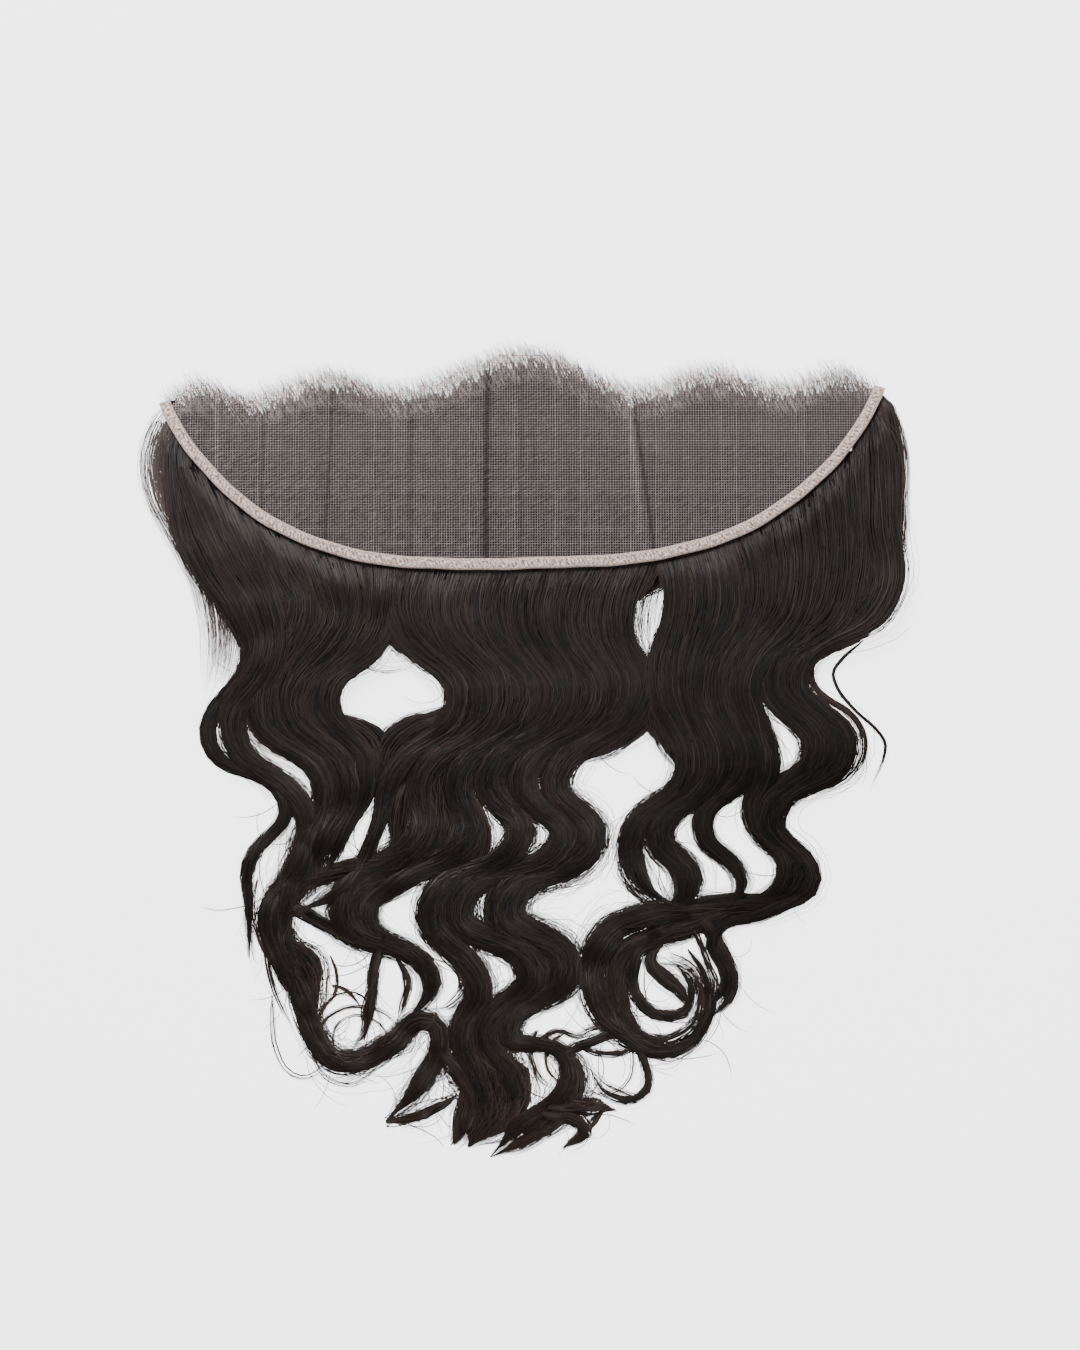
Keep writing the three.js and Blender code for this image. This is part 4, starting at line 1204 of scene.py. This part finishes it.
def bed_piece(finish):
    """The mass of hair under the lace, from the tape to just behind the hairline, where it thins out."""
    verts, faces, fades = [], [], []
    rng = random.Random(3)
    for i in range(BED_ACROSS + 1):
        along = mix(-0.955, 0.962, i / BED_ACROSS)
        x = along * HALF + SHIFT_X
        rear = rear_edge(along)[1] + 1.0 * MM
        behind = 5.8 + 0.8 * math.sin(along * 23) + 0.6 * math.sin(along * 61 + 2) + rng.uniform(-2.8, 2.8)
        front = max(rear + 2 * MM, hairline_y(along) - behind * MM)
        for k in range(BED_DEEP + 1):
            y = mix(rear, front, 1 - (1 - k / BED_DEEP) ** 1.6)
            top = max(0.8 * MM, min(lace_height(x, y, False) - 1.6 * MM, headroom(x, y) + 0.4 * MM))
            thin = ease(clamp((BED_DEEP - k) / 3))
            verts.append((x, y, mix(0.9 * MM, top, thin)))
            fades.append(1 - clamp((hairline_y(along) - y - 2 * MM) / (16 * MM)))
    row = BED_DEEP + 1
    count = len(verts)
    verts += [(x, y, BED_BOTTOM) for x, y, _ in verts]
    fades += fades
    rim = [i * row for i in range(BED_ACROSS + 1)]
    rim += [BED_ACROSS * row + k for k in range(1, row)]
    rim += [i * row + BED_DEEP for i in reversed(range(BED_ACROSS))]
    rim += list(reversed(range(1, BED_DEEP)))
    for i in range(BED_ACROSS):
        for k in range(BED_DEEP):
            a = i * row + k
            faces.append((a, a + row, a + row + 1, a + 1))
            faces.append((count + a, count + a + 1, count + a + row + 1, count + a + row))
    for a, b in zip(rim, rim[1:] + rim[:1]):
        faces.append((a, count + a, count + b, b))
    bed = mesh_object("hair_under_lace_body", verts, faces=faces, attributes={"fade": ("FLOAT", fades)})
    return finished(bed, finish)


def hairline_chain():
    """The line of the hairline, on the lace."""
    points = []
    for i in range(HAIRLINE_STEPS + 1):
        along = mix(-0.985, 0.985, i / HAIRLINE_STEPS)
        x = along * HALF + SHIFT_X
        points.append((x, hairline_y(along), lace_height(x, hairline_y(along), False)))
    return mesh_object("hairline", points, chain_edges(0, len(points)))


# Build
hair = hair_material("Hair", (0.088, 0.051, 0.040))
fine_hair = hair_material("Fine hair", (0.20, 0.145, 0.13))
beneath = core_material()
streaks = streak_group()
thread = thread_material(streaks)

cover = ceiling()
strands = strand_tree()

net = grown(net_lines(), thread_tree(), "lace_net", Thread_width=THREAD_WIDTH, Material=thread)
tape = tape_piece(tape_material())


def strand_piece(name, chains, **values):
    """Strands grown along guide chains: as on a plain lock, but for the values given."""
    settings = dict(Strand_width=STRAND_WIDTH, Spread=1.12, Stray=0.3, Wander=1.0, Curl=0.12, Latest=0.03,
                    Shortest=0.86, Lowest=0.84, Seed=10, Ceiling=cover, Material=hair)
    settings.update(values)
    return grown(chain_object("guides_" + name, chains), strands, name, **settings)


# How the other kinds of strand differ from those of a plain lock
FLYAWAYS = dict(Strand_width=0.34 * MM, Spread=1.15, Stray=1.1, Wander=3.2, Curl=1.2, Latest=0.4,
                Shortest=0.5, Lowest=0.85)
LOOPS = dict(Strand_width=0.34 * MM, Spread=1.3, Stray=0.6, Wander=2.4, Curl=0.5, Latest=0.1,
             Shortest=0.75, Lowest=0.5)
STRAYS = dict(Strand_width=0.3 * MM, Spread=0.5, Wander=1.0, Curl=1.0, Latest=0.0, Shortest=0.5, Lowest=0.2)
SHEER_HAIRS = dict(Strand_width=0.14 * MM, Spread=1.0, Wander=2.4, Curl=0.5, Latest=0.1, Shortest=0.6,
                   Lowest=0.3, Material=fine_hair)
WISP_HAIRS = dict(Strand_width=0.27 * MM, Spread=1.05, Stray=0.5, Wander=1.5, Curl=0.4, Latest=0.08,
                  Shortest=0.8, Lowest=0.6)
BED_HAIRS = dict(Strand_width=0.16 * MM, Spread=1.0, Wander=1.0, Latest=0.5, Shortest=0.9, Lowest=0.9)


def body_routes(rows, wisps):
    """The routes of all locks, and of the wisps that are broad enough for a solid body."""
    routes = [(k, lock_route(lean, bends, step=BODY_STEP)) for k, (lean, bends) in enumerate(rows)]
    thick = [row for row in wisps if row[1] >= BODY_STRANDS]
    for k, (lean, _, bends) in enumerate(thick):
        if mean_width(lock_route(lean, bends, True)) > BODY_LEAST_WIDTH:
            routes.append((k, lock_route(lean, bends, True, BODY_STEP)))
    return routes


def panel_pieces(panel, order):
    """The pieces of one panel of hair, each kind of strand with its own seeds."""
    rows, wisps = LOCKS[panel], WISPS[panel]

    def piece(kind, chains, first_seed, **look):
        return strand_piece(f"hair_{panel}_{kind}", chains, Seed=first_seed + order, **look)

    loops = wisp_chains([row for row in wisps if row[1] < LOOP_STRANDS], 0.6)
    thick = wisp_chains([row for row in wisps if row[1] >= LOOP_STRANDS], 0.15)
    sheer = wisp_chains(SHEER[panel], 0.4)
    if panel in CURTAINS:
        sheer += curtain_chains(*CURTAINS[panel])
    return (
        piece("strands", lock_chains(rows, LOCK_DENSITY), 10),
        piece("flyaways", lock_chains(rows, FLYAWAY_DENSITY), 40, **FLYAWAYS),
        piece("loops", loops, 80, **LOOPS),
        piece("strays", stray_chains(rows, 200 + order), 100, **STRAYS),
        piece("sheer", sheer, 60, **SHEER_HAIRS),
        piece("wisps", thick, 70, **WISP_HAIRS),
        core_piece(f"hair_{panel}_body", body_routes(rows, wisps), beneath),
    )


hair_pieces = {panel: panel_pieces(panel, order) for order, panel in enumerate(LOCKS)}
bed = strand_piece("hair_under_lace", bed_chains(), Seed=90, **BED_HAIRS)
bed_body = bed_piece(bed_material(streaks))
baby_hairs = grown(hairline_chain(), short_hair_tree(), "baby_hairs", Hairs=BABY_HAIRS, Hair_length=7.5 * MM,
                   Hair_width=0.12 * MM, Slant=0.4, Turn=0.35, Scatter=8 * MM, Seed=5, Material=hair)
bpy.data.objects.remove(cover)


# Floor, lights and camera
def stage_floor():
    """A level floor whose glow is the photo's pale ground."""
    corners = [(-FLOOR_REACH, -FLOOR_REACH, 0), (FLOOR_REACH, -FLOOR_REACH, 0),
               (FLOOR_REACH, FLOOR_REACH, 0), (-FLOOR_REACH, FLOOR_REACH, 0)]
    floor = mesh_object("floor", corners, faces=[(0, 1, 2, 3)])
    made, nodes, shader = material("Pale floor")
    nodes.join(shader, Base_Color=(0.80, 0.80, 0.81, 1), Roughness=0.9, Specular_IOR_Level=0.1,
               Emission_Color=(0.962, 0.970, 1.0, 1), Emission_Strength=3.05)
    floor.data.materials.append(made)


def area_light(name, place, size, power):
    """A square light turned toward the middle of the piece."""
    lamp = bpy.data.lights.new(name, "AREA")
    lamp.size = size
    lamp.energy = power
    obj = link_object(bpy.data.objects.new(name, lamp))
    obj.location = place
    obj.rotation_euler = (-Vector(place)).to_track_quat("-Z", "Y").to_euler()


def studio_world():
    """Dim, slightly cool light from all around."""
    world = bpy.data.worlds.new("Studio")
    world.use_nodes = True
    background = world.node_tree.nodes["Background"].inputs
    background["Color"].default_value = (0.92, 0.93, 0.95, 1)
    background["Strength"].default_value = 0.25
    bpy.context.scene.world = world


def photo_camera():
    """A camera straight above the middle of the photo, as high as its frame asks."""
    data = bpy.data.cameras.new("camera")
    data.lens = LENS
    data.sensor_width = SENSOR
    camera = link_object(bpy.data.objects.new("camera", data))
    view_x = SHIFT_X + (PHOTO_WIDTH / 2 - TAPE_MIDDLE_X) * PIXEL
    view_y = SHIFT_Y + (TAPE_MIDDLE_Y - PHOTO_HEIGHT / 2) * PIXEL
    camera.location = (view_x, view_y, PHOTO_HEIGHT * PIXEL * LENS / SENSOR)
    bpy.context.scene.camera = camera


stage_floor()
area_light("key", (-0.45, 1.15, 1.2), 0.7, 34)
area_light("fill", (0.9, -0.3, 1.3), 1.0, 10)
studio_world()
photo_camera()


for panel, pieces in hair_pieces.items():
    for piece in pieces:
        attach(piece, "root")
        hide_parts(f"hair_{panel}")
for piece in (bed, bed_body):
    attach(piece, "root")
    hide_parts("hair_left", "hair_centre", "hair_right")
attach(baby_hairs, "root")
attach(net, "root")
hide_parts("lace_base")
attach(tape, "root")
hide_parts("edge_binding")
